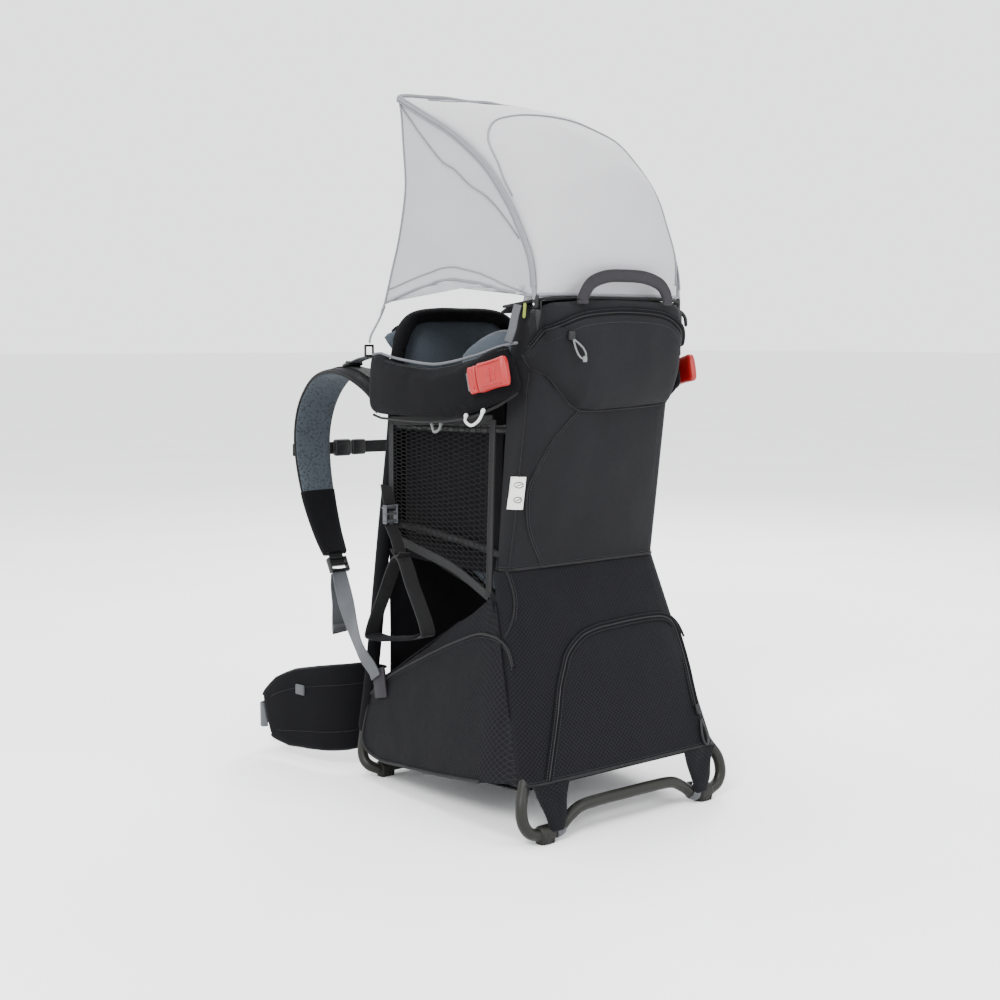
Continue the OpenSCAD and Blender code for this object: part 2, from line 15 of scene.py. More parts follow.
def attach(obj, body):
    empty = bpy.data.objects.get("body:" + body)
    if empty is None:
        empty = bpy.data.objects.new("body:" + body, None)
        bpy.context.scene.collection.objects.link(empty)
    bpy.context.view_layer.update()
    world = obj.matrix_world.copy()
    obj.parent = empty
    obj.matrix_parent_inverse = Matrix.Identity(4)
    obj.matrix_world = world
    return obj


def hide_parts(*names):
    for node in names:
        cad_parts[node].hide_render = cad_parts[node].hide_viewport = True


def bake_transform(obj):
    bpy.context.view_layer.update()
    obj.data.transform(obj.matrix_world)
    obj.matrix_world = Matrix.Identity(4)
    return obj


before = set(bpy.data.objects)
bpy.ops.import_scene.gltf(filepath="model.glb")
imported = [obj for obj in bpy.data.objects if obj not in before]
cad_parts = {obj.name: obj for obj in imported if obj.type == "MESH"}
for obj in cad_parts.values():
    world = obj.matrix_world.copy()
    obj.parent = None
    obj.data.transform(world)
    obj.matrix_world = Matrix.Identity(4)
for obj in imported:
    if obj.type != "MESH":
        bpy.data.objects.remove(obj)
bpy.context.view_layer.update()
MID_Y = 312.5


# ---- Geometry helpers --------------------------------------------------------------------

def metres(p):
    return (np.asarray(p, float) - (0, MID_Y, 0)) / 1000


def unit(v):
    v = np.asarray(v, float)
    return v / max(np.linalg.norm(v), 1e-9)


def mix(a, b, t):
    return a + (b - a) * t


def flip(p):
    return np.asarray(p, float) * (-1, 1, 1)


def whole_line(half):
    """The half line for +X made whole with its mirror image."""
    return np.array([flip(p) for p in half[:0:-1]] + [np.asarray(p, float) for p in half])


def spline(points, n=6, closed=False):
    """A smooth curve through all the points, with n steps between each two."""
    p = np.asarray(points, float)
    m = len(p)
    out = []
    for i in range(m if closed else m - 1):
        if closed:
            a, b, c, d = p[i - 1], p[i], p[(i + 1) % m], p[(i + 2) % m]
        else:
            a, b, c, d = p[max(i - 1, 0)], p[i], p[i + 1], p[min(i + 2, m - 1)]
        for t in np.arange(n) / n:
            out.append(0.5 * (2 * b + (c - a) * t + (2 * a - 5 * b + 4 * c - d) * t ** 2
                              + (3 * b - a - 3 * c + d) * t ** 3))
    if not closed:
        out.append(p[-1])
    return np.array(out)


def even(path, step):
    """The same open path with points a regular step apart."""
    d = np.r_[0, np.cumsum(np.linalg.norm(np.diff(path, axis=0), axis=1))]
    n = max(2, int(round(d[-1] / step)) + 1)
    s = np.linspace(0, d[-1], n)
    return np.stack([np.interp(s, d, path[:, k]) for k in range(3)], 1)


def smooth_step(x, a, b):
    t = np.clip((np.asarray(x, float) - a) / (b - a), 0, 1)
    return t * t * (3 - 2 * t)


def wobble(p, size, seed=0):
    """Seeded smooth noise from -1 to 1 at a point, with features of about this size."""
    q = np.asarray(p, float) / size
    return noise.noise(Vector((q[0] + 31.7 * seed, q[1] - 12.3 * seed, q[2] + 5.1 * seed)))


def round_profile(r, n=24):
    a = np.arange(n) * 2 * math.pi / n
    return np.stack([r * np.cos(a), r * np.sin(a)], 1)


def flat_profile(t, w):
    """Webbing: flat faces, soft selvedges, and a slight rib along each edge."""
    h, e = t / 2, w / 2
    half = [(-h, -e + 1.4), (-h * 1.15, -e + 0.8), (-h * 0.6, -e), (h * 0.6, -e), (h * 1.15, -e + 0.8),
            (h, -e + 1.4), (h, -e / 3), (h, e / 3), (h, e - 1.4), (h * 1.15, e - 0.8), (h * 0.6, e),
            (-h * 0.6, e), (-h * 1.15, e - 0.8), (-h, e - 1.4), (-h, e / 3), (-h, -e / 3)]
    return np.array(half)


def pad_profile(t, w, n=32, power=0.6):
    a = (np.arange(n) + 0.5) * 2 * math.pi / n
    c, s = np.cos(a), np.sin(a)
    return np.stack([np.sign(c) * abs(c) ** power * t / 2, np.sign(s) * abs(s) ** power * w / 2], 1)


def frames(path, up, closed=False):
    """Side and width directions at each point of a path, the width turned towards up."""
    path = np.asarray(path, float)
    n = len(path)
    ups = np.broadcast_to(np.asarray(up, float), (n, 3))
    if closed:
        along = np.roll(path, -1, 0) - np.roll(path, 1, 0)
    else:
        along = np.gradient(path, axis=0)
    side = np.array([unit(np.cross(unit(a), u)) for a, u in zip(along, ups)])
    wide = np.array([unit(np.cross(s, a)) for s, a in zip(side, along)])
    return side, wide


def rings_along(path, profiles, up, closed=False):
    side, wide = frames(path, up, closed)
    profiles = [profiles] * len(path) if np.ndim(profiles) == 2 else profiles
    return np.array([p + np.outer(q[:, 0], s) + np.outer(q[:, 1], w)
                     for p, q, s, w in zip(path, profiles, side, wide)])


WEB_THICK = 2.0

# A stitch's faces over its eight corners, each with one millimetre of the thread's texture
STITCH_FACES = ((0, 1, 3, 2), (2, 3, 5, 4), (4, 5, 7, 6), (0, 2, 4, 6), (7, 5, 3, 1), (0, 6, 7, 1))
THREAD_UVS = ((0, 0), (0.001, 0), (0.001, 0.001), (0, 0.001))


class Shape:
    """Collects vertices, faces, UVs in metres and material numbers, and makes one object."""

    def __init__(self):
        self.v, self.f, self.uv, self.m = [], [], [], []

    def face(self, idx, uvs, mat):
        self.f.append(idx)
        self.uv += [tuple(u) for u in uvs]
        self.m.append(mat)

    def skin(self, rings, wrap=True, closed=False, caps=True, mat=0):
        """A skin over rings of equally many points, each ring closed on itself if wrap."""
        rings = np.asarray(rings, float)
        n, m = rings.shape[:2]
        base = len(self.v)
        self.v += [tuple(p) for p in rings.reshape(-1, 3)]
        mid = rings[n // 2]
        across = np.r_[0, np.cumsum(np.linalg.norm(np.roll(mid, -1, 0) - mid, axis=1))] / 1000
        line = rings.mean(1)
        along = np.r_[0, np.cumsum(np.linalg.norm(np.roll(line, -1, 0) - line, axis=1))] / 1000
        for i in range(n if closed else n - 1):
            k = (i + 1) % n
            for j in range(m if wrap else m - 1):
                l = (j + 1) % m
                self.face((base + i * m + j, base + i * m + l, base + k * m + l, base + k * m + j),
                          ((across[j], along[i]), (across[j + 1], along[i]),
                           (across[j + 1], along[i + 1]), (across[j], along[i + 1])),
                          mat(j, m) if callable(mat) else mat)
        if wrap and caps and not closed:
            for i, order in ((0, range(m - 1, -1, -1)), (n - 1, range(m))):
                c = len(self.v)
                self.v.append(tuple(rings[i].mean(0)))
                order = list(order)
                for a, b in zip(order, order[1:] + order[:1]):
                    self.face((base + i * m + a, base + i * m + b, c),
                              ((across[a], 0), (across[b], 0), (across[a], 0.005)),
                              mat(a, m) if callable(mat) else mat)
        return self

    def tube(self, path, r, closed=False, mat=0, n=12, up=(0.31, 0.17, 0.93)):
        """A round tube, its ends domed."""
        path = np.asarray(path, float)
        radii = np.full(len(path), float(r))
        if not closed:
            a, b = unit(path[0] - path[1]), unit(path[-1] - path[-2])
            path = np.vstack([path[0] + a * r * 0.9, path[0] + a * r * 0.6, path,
                              path[-1] + b * r * 0.6, path[-1] + b * r * 0.9])
            radii = np.r_[r * 0.35, r * 0.78, radii, r * 0.78, r * 0.35]
        return self.skin(rings_along(path, [round_profile(q, n) for q in radii], up, closed),
                         closed=closed, mat=mat)

    def band(self, path, w, t=WEB_THICK, up=(1, 0, 0), closed=False, mat=0):
        return self.skin(rings_along(path, flat_profile(t, w), up, closed), closed=closed, mat=mat)

    def grid(self, points, thick, mat=0):
        """A closed thin sheet: thick is set off along the surface's own normal."""
        g = np.asarray(points, float)
        n = np.cross(np.gradient(g, axis=0), np.gradient(g, axis=1))
        n /= np.maximum(np.linalg.norm(n, axis=2, keepdims=True), 1e-9)
        back = g + n * thick
        rows = [np.vstack([g[i], back[i][::-1]]) for i in range(len(g))]
        return self.skin(rows, mat=mat)

    def stitches(self, path, normal, mat=0, length=2.6, pitch=3.8, r=0.35):
        """A row of thread stitches standing just out of a surface."""
        whole = np.asarray(path, float)
        path = even(whole, pitch)
        normal = np.asarray(normal, float)
        if normal.ndim > 1:
            picks = np.linspace(0, len(normal) - 1, len(path)).round().astype(int)
            normal = normal[picks]
        normal = np.broadcast_to(normal, path.shape)
        for i in range(len(path) - 1):
            a = unit(path[i + 1] - path[i])
            up, side = unit(normal[i]), unit(np.cross(a, normal[i]))
            c = path[i]
            pts = [(-0.5, 0), (-0.3, 1), (0.3, 1), (0.5, 0)]
            base = len(self.v)
            for s, h in pts:
                for q in (-1, 1):
                    self.v.append(tuple(c + a * s * length + side * q * r * (0.6 + 0.4 * h)
                                        + up * (h * r * 1.6 - 0.2)))
            for order in STITCH_FACES:
                self.face(tuple(base + o for o in order), THREAD_UVS, mat)
        return self

    def box(self, low, high, r=1.2, mat=0, turn=None, at=(0, 0, 0)):
        """A box with rounded edges, about its own middle, then turned and moved."""
        low, high = np.asarray(low, float), np.asarray(high, float)
        r = min(r, 0.49 * (high - low).min())
        k = 3
        rings = []
        ends = [(math.sin(a), math.cos(a)) for a in np.linspace(0, math.pi / 2, k + 1)]
        zs = [(low[2] + r * (1 - c), r * (1 - s)) for s, c in ends]
        zs += [(high[2] - r * (1 - c), r * (1 - s)) for s, c in ends[::-1]]
        for z, inset in zs:
            q = max(r - inset, 0.02)
            pts = []
            for cx, cy, a0 in ((high[0] - r, high[1] - r, 0), (low[0] + r, high[1] - r, 1),
                               (low[0] + r, low[1] + r, 2), (high[0] - r, low[1] + r, 3)):
                for a in np.linspace(a0, a0 + 1, k + 1) * math.pi / 2:
                    pts.append((cx + q * math.cos(a), cy + q * math.sin(a), z))
            rings.append(pts)
        rings = np.array(rings)
        if turn is not None:
            rings = rings @ np.asarray(turn).T
        return self.skin(rings + np.asarray(at, float), mat=mat)

    def mirrored(self):
        """The same shape again on the other side."""
        other = Shape()
        other.v = [(-x, y, z) for x, y, z in self.v]
        other.m = list(self.m)
        k = 0
        for f in self.f:
            other.f.append(tuple(reversed(f)))
            other.uv += list(reversed(self.uv[k:k + len(f)]))
            k += len(f)
        return other

    def join(self, other):
        base = len(self.v)
        self.v += other.v
        self.f += [tuple(base + i for i in f) for f in other.f]
        self.uv += other.uv
        self.m += other.m
        return self

    def both(self):
        return self.join(self.mirrored())

    def on_side(self, sign):
        """A shape made for the right-hand side, mirrored if it goes on the left."""
        return self if sign > 0 else self.mirrored()

    def put(self, name, mats, slot, nodes=(), body="carrier_frame", sharp=40, sub=0):
        """Makes the object, rides it on its body, and hides the CAD nodes it stands for; the slot is not
        used.
        """
        mesh = bpy.data.meshes.new(name)
        mesh.from_pydata([tuple(p) for p in metres(self.v)], [], self.f)
        layer = mesh.uv_layers.new(name="UVMap")
        layer.data.foreach_set("uv", np.array(self.uv, float).ravel())
        for m in mats:
            mesh.materials.append(m)
        mesh.polygons.foreach_set("material_index", self.m)
        mesh.polygons.foreach_set("use_smooth", [True] * len(mesh.polygons))
        mesh.validate()
        work = bmesh.new()
        work.from_mesh(mesh)
        bmesh.ops.recalc_face_normals(work, faces=work.faces)
        work.to_mesh(mesh)
        work.free()
        mesh.set_sharp_from_angle(angle=math.radians(sharp))
        obj = bpy.data.objects.new(name, mesh)
        bpy.context.scene.collection.objects.link(obj)
        if sub:
            mod = obj.modifiers.new("Subdivision", "SUBSURF")
            mod.levels = mod.render_levels = sub
        if body:
            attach(obj, body)
        if nodes:
            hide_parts(*nodes)
        return obj


def rot_x(deg):
    a = math.radians(deg)
    return np.array([[1, 0, 0], [0, math.cos(a), -math.sin(a)], [0, math.sin(a), math.cos(a)]])


def rot_z(deg):
    a = math.radians(deg)
    return np.array([[math.cos(a), -math.sin(a), 0], [math.sin(a), math.cos(a), 0], [0, 0, 1]])


SIDES = (("left", -1), ("right", 1))


# ---- Camera, floor and light --------------------------------------------------------------

scene = bpy.context.scene
camera_data = bpy.data.cameras.new("Camera")
camera = bpy.data.objects.new("Camera", camera_data)
scene.collection.objects.link(camera)
scene.camera = camera
camera_data.sensor_width = 36
camera_data.lens = 52.69
camera.location = (-1.3384, -1.7383, 0.6556)
PITCH = 6.28
AZIMUTH = 0.66445
camera.rotation_euler = (math.radians(90 - PITCH), 0, -AZIMUTH)

floor_mesh = bpy.data.meshes.new("Floor")
floor_mesh.from_pydata([(-60, -60, -0.0005), (60, -60, -0.0005), (60, 60, -0.0005), (-60, 60, -0.0005)],
                       [], [(0, 1, 2, 3)])
floor = bpy.data.objects.new("Floor", floor_mesh)
scene.collection.objects.link(floor)

world = bpy.data.worlds.new("World")
world.use_nodes = True
world.node_tree.nodes["Background"].inputs[0].default_value = (0.97, 0.98, 1.0, 1)
world.node_tree.nodes["Background"].inputs[1].default_value = 2.3
scene.world = world


def lamp(name, at, size, power, aim=(0, 0, 0.5), colour=(1, 1, 1)):
    data = bpy.data.lights.new(name, "AREA")
    data.shape, data.size, data.energy, data.color = "DISK", size, power, colour
    obj = bpy.data.objects.new(name, data)
    obj.location = at
    obj.rotation_euler = (Vector(aim) - Vector(at)).to_track_quat("-Z", "Y").to_euler()
    scene.collection.objects.link(obj)


lamp("Key", (-2.6, -1.6, 2.6), 1.3, 150)
lamp("Front", (0.9, -3.0, 1.9), 1.4, 60, colour=(0.97, 0.98, 1))
lamp("Rim", (2.2, 1.6, 2.4), 1.2, 90)
lamp("Top", (-0.3, 0.6, 3.2), 1.6, 70)

# ---- Materials ---------------------------------------------------------------------------


class Finish:
    """A procedural material, put together node by node."""

    def __init__(self, name, rough=0.8, sheen=0.0, specular=0.5, metallic=0.0, sheen_rough=0.5):
        self.mat = bpy.data.materials.new(name)
        self.mat.use_nodes = True
        self.tree = self.mat.node_tree
        self.shader = self.tree.nodes["Principled BSDF"]
        self.set("Roughness", rough)
        self.set("Specular IOR Level", specular)
        self.set("Metallic", metallic)
        self.set("Sheen Weight", sheen)
        self.set("Sheen Roughness", sheen_rough)
        coords = self.tree.nodes.new("ShaderNodeTexCoord")
        self.spots = {"uv": coords.outputs["UV"], "object": coords.outputs["Object"]}
        self.bump_out = None

    def set(self, socket, value):
        self.shader.inputs[socket].default_value = value

    def node(self, kind, inputs=(), **settings):
        made = self.tree.nodes.new("ShaderNode" + kind)
        for k, v in settings.items():
            setattr(made, k, v)
        for i, v in (inputs.items() if isinstance(inputs, dict) else enumerate(inputs)):
            if v is None:
                continue
            if isinstance(v, bpy.types.NodeSocket):
                self.tree.links.new(v, made.inputs[i])
            else:
                made.inputs[i].default_value = v
        return made

    def math(self, operation, *values):
        return self.node("Math", values, operation=operation).outputs[0]

    def noise(self, scale, detail=3.0, space="object", stretch=None):
        where = self.spots[space]
        if stretch:
            where = self.node("Mapping", {0: where, 3: stretch}).outputs[0]
        return self.node("TexNoise", {"Vector": where, "Scale": scale, "Detail": detail}).outputs["Fac"]

    def ramp(self, fac, stops):
        made = self.node("ValToRGB", [fac])
        while len(made.color_ramp.elements) < len(stops):
            made.color_ramp.elements.new(0.5)
        for e, (at, colour) in zip(made.color_ramp.elements, stops):
            e.position = at
            e.color = (*colour, 1) if np.ndim(colour) else (colour, colour, colour, 1)
        return made.outputs[0]

    def blend_colour(self, fac, a, b, kind="MIX"):
        made = self.node("Mix", data_type="RGBA", blend_type=kind)
        for i, v in ((0, fac), (6, a), (7, b)):
            if isinstance(v, bpy.types.NodeSocket):
                self.tree.links.new(v, made.inputs[i])
            else:
                made.inputs[i].default_value = v if i == 0 else (*v, 1)
        return made.outputs[2]

    def colour(self, value):
        self.tree.links.new(value, self.shader.inputs["Base Color"])

    def rough(self, fac, low, high):
        made = self.node("MapRange", [fac, 0.0, 1.0, low, high])
        self.tree.links.new(made.outputs[0], self.shader.inputs["Roughness"])

    def bump(self, height, strength, distance):
        self.bump_out = self.node("Bump", {"Strength": strength, "Distance": distance, "Height": height,
                                           "Normal": self.bump_out}).outputs[0]
        self.tree.links.new(self.bump_out, self.shader.inputs["Normal"])

    def waves(self, space, pitch, ways=((1, 0), (0, 1))):
        """Sine heights across a surface, one for each way."""
        split = self.node("SeparateXYZ", [self.spots[space]])
        x, y, z = split.outputs
        out = []
        for i, (a, b) in enumerate(ways):
            along = self.math("ADD", self.math("MULTIPLY", x, a * 2 * math.pi / pitch),
                              self.math("MULTIPLY", y, b * 2 * math.pi / pitch))
            if space == "object":
                slant = (0.83, 1.07)[i % 2]
                along = self.math("ADD", along, self.math("MULTIPLY", z, slant * 2 * math.pi / pitch))
            out.append(self.math("SINE", along))
        return out


def shades(colour, *factors):
    return [tuple(min(c * f, 1.0) for c in colour) for f in factors]


def cloth(name, colour, space="uv", pitch=0.0016, rip=0.0, rough=0.82, sheen=0.25, crease=0.35,
          spread=0.22, weave=0.35, spots=0.0, specular=0.04):
    """Woven fabric: mottled colour, creases, a weave, ripstop lines where rip is their pitch, and where
    spots gives a cell size, sunken cells darkened towards their middles as painted shade.
    """
    f = Finish(name, rough=rough, sheen=sheen * 0.2, specular=specular)
    soft, fine = f.noise(7.0, 4.0), f.noise(420.0, 2.0)
    low, mid, high = shades(colour, 1 - spread, 1, 1 + spread)
    base = f.ramp(soft, [(0.3, low), (0.52, mid), (0.72, high)])
    base = f.blend_colour(0.35, base, f.ramp(fine, [(0.3, low), (0.7, high)]))
    a, b = f.waves(space, pitch)
    woven = f.math("MULTIPLY", a, b)
    f.bump(f.noise(16.0, 5.0, stretch=(1.0, 1.0, 0.55)), crease, 0.006)
    if rip:
        c, d = f.waves(space, rip, ((1, 1), (1, -1)))
        lines = f.math("GREATER_THAN", f.math("MAXIMUM", c, d), 0.90)
        base = f.blend_colour(f.math("MULTIPLY", lines, 0.8), base, shades(colour, 3.2)[0])
        f.bump(lines, 0.5, 0.0006)
    if spots:
        cell = f.node("TexVoronoi", {"Vector": f.spots["object"], "Scale": 1 / spots})
        hole_depth_and_shade = f.ramp(cell.outputs["Distance"], [(0.12, 0.0), (0.42, 1.0)])
        # Painted shade: each sunken cell is darkened towards its middle, standing in for the shade in the
        # mesh's holes
        base = f.blend_colour(f.math("SUBTRACT", 1.0, hole_depth_and_shade), base, shades(colour, 0.42)[0])
        f.bump(hole_depth_and_shade, 0.7, 0.0012)
    f.bump(woven, weave, 0.0004)
    f.colour(base)
    f.rough(soft, rough - 0.08, min(rough + 0.1, 1.0))
    return f.mat


def webbing(name, colour, pitch=0.0022, rough=0.7, edge=1.5):
    """Woven tape: slanting ribs down its length, thread fuzz and rubbed selvedges."""
    f = Finish(name, rough=rough, sheen=0.05, specular=0.14)
    a, b = f.waves("uv", pitch, ((0.6, 1), (0.6, -1)))
    ribs = f.math("MAXIMUM", a, b)
    fine, soft = f.noise(600.0, 2.0), f.noise(14.0, 3.0)
    low, mid, high = shades(colour, 0.72, 1, edge)
    base = f.ramp(ribs, [(0.2, low), (0.9, mid)])
    base = f.blend_colour(f.ramp(f.math("ADD", soft, f.math("MULTIPLY", fine, 0.5)),
                                 [(0.62, 0.0), (1.0, 0.6)]), base, high)
    f.bump(ribs, 0.5, 0.0006)
    f.bump(fine, 0.25, 0.0004)
    f.colour(base)
    return f.mat


def plastic(name, colour, rough=0.42, grain=0.12, metallic=0.0, specular=0.45, rub=1.35):
    """Moulded plastic or painted tube: fine grain, uneven gloss, faint scuffs."""
    f = Finish(name, rough=rough, specular=specular, metallic=metallic)
    soft, fine = f.noise(22.0, 5.0), f.noise(1400.0, 2.0)
    scuff = f.noise(60.0, 8.0, stretch=(1.0, 0.25, 1.0))
    low, mid, high = shades(colour, 0.86, 1, rub)
    base = f.ramp(soft, [(0.3, low), (0.6, mid)])
    base = f.blend_colour(f.ramp(scuff, [(0.6, 0.0), (0.78, 0.45)]), base, high)
    f.colour(base)
    f.rough(soft, rough - 0.07, rough + 0.14)
    f.bump(fine, grain, 0.0003)
    return f.mat


def linear(r, g, b):
    return tuple(((c / 255 + 0.055) / 1.055) ** 2.4 if c > 10 else c / 255 / 12.92 for c in (r, g, b))


RIPSTOP = cloth("Ripstop charcoal", linear(12, 12, 14), rip=0.0062, rough=0.56, sheen=0.06, crease=0.45)
SMOOTH = cloth("Plain charcoal weave", linear(21, 21, 23), pitch=0.0013, rough=0.7, sheen=0.14,
               crease=0.35, specular=0.06)
DARK = cloth("Black weave", linear(13, 13, 15), pitch=0.0014, rough=0.8, sheen=0.08, crease=0.3)
PAD = cloth("Brushed charcoal pad", linear(12, 12, 14), space="object", pitch=0.0019, rough=0.85,
            sheen=0.08, crease=0.3)
SLATE = cloth("Slate lining", linear(64, 70, 76), space="object", pitch=0.0017, rough=0.86, sheen=0.3,
              crease=0.3)
SPACER = cloth("Slate spacer mesh", linear(58, 64, 69), space="object", pitch=0.0021, rough=0.85,
               sheen=0.2, crease=0.12, spots=0.0045)
BINDING = webbing("Black binding tape", linear(15, 15, 16), pitch=0.0014)
PIPING = webbing("Grey edge tape", linear(84, 86, 90), pitch=0.0013, edge=1.25)
SEAM = webbing("Charcoal seam cord", linear(14, 14, 15), pitch=0.0012)
THREAD = webbing("Grey thread", linear(40, 41, 44), pitch=0.0008)
GREY_WEB = webbing("Grey webbing", linear(68, 70, 73))
DARK_WEB = webbing("Charcoal webbing", linear(33, 31, 34))
BLACK_WEB = webbing("Black webbing", linear(16, 16, 17))
BLACK = plastic("Black moulded plastic", linear(15, 15, 16), specular=0.25)
GREY = plastic("Grey moulded plastic", linear(54, 56, 59), rough=0.5)
RED = plastic("Red moulded plastic", linear(138, 6, 5), rough=0.45, rub=1.12, grain=0.08)
TUBE = plastic("Olive painted tube", linear(21, 21, 17), rough=0.42, grain=0.06, rub=1.3, specular=0.22)
CAPS = plastic("Olive foot cap", linear(19, 18, 15), rough=0.55, grain=0.25, specular=0.25)
STEEL = plastic("Bright steel pin", linear(190, 192, 196), rough=0.25, metallic=1.0, grain=0.05,
                rub=1.05)
HOOP = plastic("Grey hoop sleeve", linear(104, 105, 108), rough=0.5)
WHITE_CORD = webbing("White cord", linear(200, 200, 200), pitch=0.0026, edge=1.02)
GREY_CORD = webbing("Grey cord", linear(96, 100, 98), pitch=0.0022)
SHADE = cloth("Pale shade fabric", linear(160, 160, 162), pitch=0.0012, rough=0.72, sheen=0.2,
              crease=0.4, spread=0.05, weave=0.2)
SHADE_SIDE = cloth("Pale shade mesh side", linear(150, 151, 153), pitch=0.0017, rough=0.75, sheen=0.2,
                   crease=0.35, spread=0.05, weave=0.4)
SHADE_TAPE = webbing("Pale grey shade tape", linear(118, 119, 123), pitch=0.0013, edge=1.15)
LABEL = cloth("White label", linear(205, 205, 200), pitch=0.0011, rough=0.7, crease=0.1, spread=0.03)
INK = plastic("Label print", linear(34, 34, 36), rough=0.8, grain=0.05)
LIME = webbing("Yellow green cord", linear(110, 118, 52), pitch=0.0022)

floor_finish = Finish("Pale floor", rough=0.85, specular=0.2)
floor_finish.colour(floor_finish.ramp(floor_finish.noise(2.0, 3.0), [(0.3, 0.86), (0.7, 0.90)]))
floor_finish.bump(floor_finish.noise(160.0, 3.0), 0.06, 0.002)
floor_mesh.materials.append(floor_finish.mat)

# ---- Tubes, stand and feet -----------------------------------------------------------------

TUBE_R = 8

front_half = np.array([[0, 378, 13], [60, 378, 13], [118, 378, 13], [134, 378, 13], [156, 378, 13],
                       [160, 378, 13], [171, 385, 19], [174, 394, 29], [172, 399, 45], [168, 398, 75],
                       [159, 394, 150], [149, 389, 260], [137, 386, 380], [125, 385, 480],
                       [117, 385, 560], [113, 385, 630], [98, 385, 672], [70, 385, 689], [0, 385, 692]],
                      float)
front_loop = np.vstack([front_half, [flip(p) for p in front_half[-2:0:-1]]])
sleeves = Shape().tube(spline(front_half[9:17], 8), 10.4, n=24, up=(0, 1, -1)).both()
sleeves.put("front_frame_sleeves", [DARK], "pack_fabric")
front = Shape().tube(spline(front_loop, 6, closed=True), TUBE_R, closed=True, n=28, up=(0, 1, -1))
front.put("front_frame_tube", [TUBE], "frame_tube", ["front_frame"])

stand_half = np.array([[0, 0, 39], [50, 0, 39], [84, 0, 37], [104, 0, 28], [120, -1, 17], [132, -1, 13],
                       [136, -1, 13], [158, -1, 13], [162, -1, 13], [176, -1, 20], [184, 1, 35],
                       [182, 6, 56], [170, 15, 77], [159, 24, 102], [153, 42, 158], [144, 67, 230],
                       [133, 92, 302], [125, 106, 336], [123, 109, 344]], float)
stand_path = spline(whole_line(stand_half), 6)
stand = Shape().tube(stand_path, TUBE_R, n=28, up=(0, 1, 0.4))
eyes = Shape().tube([[118.5, 112, 352], [127.5, 112, 352]], 10.5, n=28)
stand.join(eyes.both()).put("stand_tube", [TUBE], "frame_tube", ["kickstand"], body="stand")


def foot_cap(x, y, z, name, body, node):
    """A rounded cap over the tube with a flat sole and two moulded rings."""
    s = Shape()
    half, rings = 12.5, []
    for k in np.linspace(-1, 1, 25):
        r = (TUBE_R + 3.2) * (1 - abs(k) ** 7 * 0.28)
        r -= 0.5 * math.exp(-((abs(k) - 0.45) / 0.05) ** 2)
        ring = []
        for a in np.linspace(0, 2 * math.pi, 37)[:-1]:
            py, pz = r * math.cos(a), r * math.sin(a)
            ring.append((k * half, py, max(pz, -z + 0.05) if py ** 2 < 49 else pz))
        rings.append(ring)
    rings = np.array(rings)
    rings[..., 2] = np.where(rings[..., 2] < -7, np.minimum(rings[..., 2], -z + 0.1), rings[..., 2])
    s.skin(rings + (x, y, z))
    s.both().put(name, [CAPS], "foot_rubber", [node], body=body, sharp=50)


foot_cap(147, -1, 13, "stand_feet", "stand", "rear_foot_caps")
foot_cap(145, 378, 13, "front_feet", "carrier_frame", "front_foot_caps")

# Clips that hold the cloth corners, each a sleeve on the foot bar between these two places in X
CLIP_FROM, CLIP_TO, BAR_TOP = 119, 133, 60
part = np.array([p for p in stand_path if p[2] < BAR_TOP and CLIP_FROM < p[0] < CLIP_TO])
n = len(part)
radii = [TUBE_R + 2.6 - 0.9 * (abs(2 * i / (n - 1) - 1) ** 6) for i in range(n)]
clips = Shape().skin(rings_along(part, [round_profile(r, 28) for r in radii], (0, 1, 0.4)))
clips.box((-4, -2.2, -3), (4, 2.2, 3), 1, at=(127, 6.5, 25))
clips.both().put("gusset_clip_sleeves", [GREY], "grey_plastic", ["gusset_clips"], body="stand")

hoop_half = np.array([[0, 46, 684], [60, 46, 684], [88, 48, 674], [100, 55, 645], [104, 68, 580],
                      [107, 88, 480], [109, 103, 402], [109, 109, 377]], float)
hoop = Shape().tube(spline(whole_line(hoop_half), 6), TUBE_R, n=24, up=(0, 1, 0))
hoop.put("rear_hoop_tube", [TUBE], "frame_tube", ["rear_hoop"])
rails = {"upper": [[114, 92, 536], [119, 150, 533], [120, 260, 530], [119, 374, 528]],
         "lower": [[109, 127, 357], [110, 180, 366], [119, 290, 378], [128, 375, 384]]}
for key, line in rails.items():
    rail = Shape().tube(spline(line, 6), 6, n=20, up=(0, 0, 1)).both()
    rail.put(key + "_rail_tubes", [BLACK], "frame_tube", [key + "_rails"])

# ---- Pack body ----------------------------------------------------------------------------

WAIST_Z, TOP_Z = 345.0, 700.0


def rear_y(z):
    return 95 - 0.1915 * (z - WAIST_Z)


def lower_rear_y(z):
    return 95 - 0.358 * (WAIST_Z - z)


def upper_x(z):
    return 140 - 0.0625 * (z - WAIST_Z)


def lower_x(z):
    return 143 + 0.1245 * (WAIST_Z - z)


# Top pocket: where its lower seam and its upper edge run across the rear face
POCKET_LOW = np.array([[-140, 634], [-124, 617], [-107, 605], [-80, 583], [-54, 563], [-21, 559],
                       [40, 561], [112, 566], [124, 582], [136, 626]], float)
POCKET_TOP = np.array([[-140, 668], [-132, 692], [-112, 702], [-60, 706], [0, 707], [60, 706],
                       [112, 702], [130, 690], [136, 668]], float)


def pocket_bulge(x, z):
    low = np.interp(x, POCKET_LOW[:, 0], POCKET_LOW[:, 1])
    top = np.interp(x, POCKET_TOP[:, 0], POCKET_TOP[:, 1])
    v = np.clip((z - low) / np.maximum(top - low, 1), 0, 1)
    u = np.clip(abs(x + 2) / 138, 0, 1)
    return 25 * np.sqrt(np.clip(1 - u ** 4, 0, 1)) * np.sin(math.pi * v ** 0.9) ** 0.55


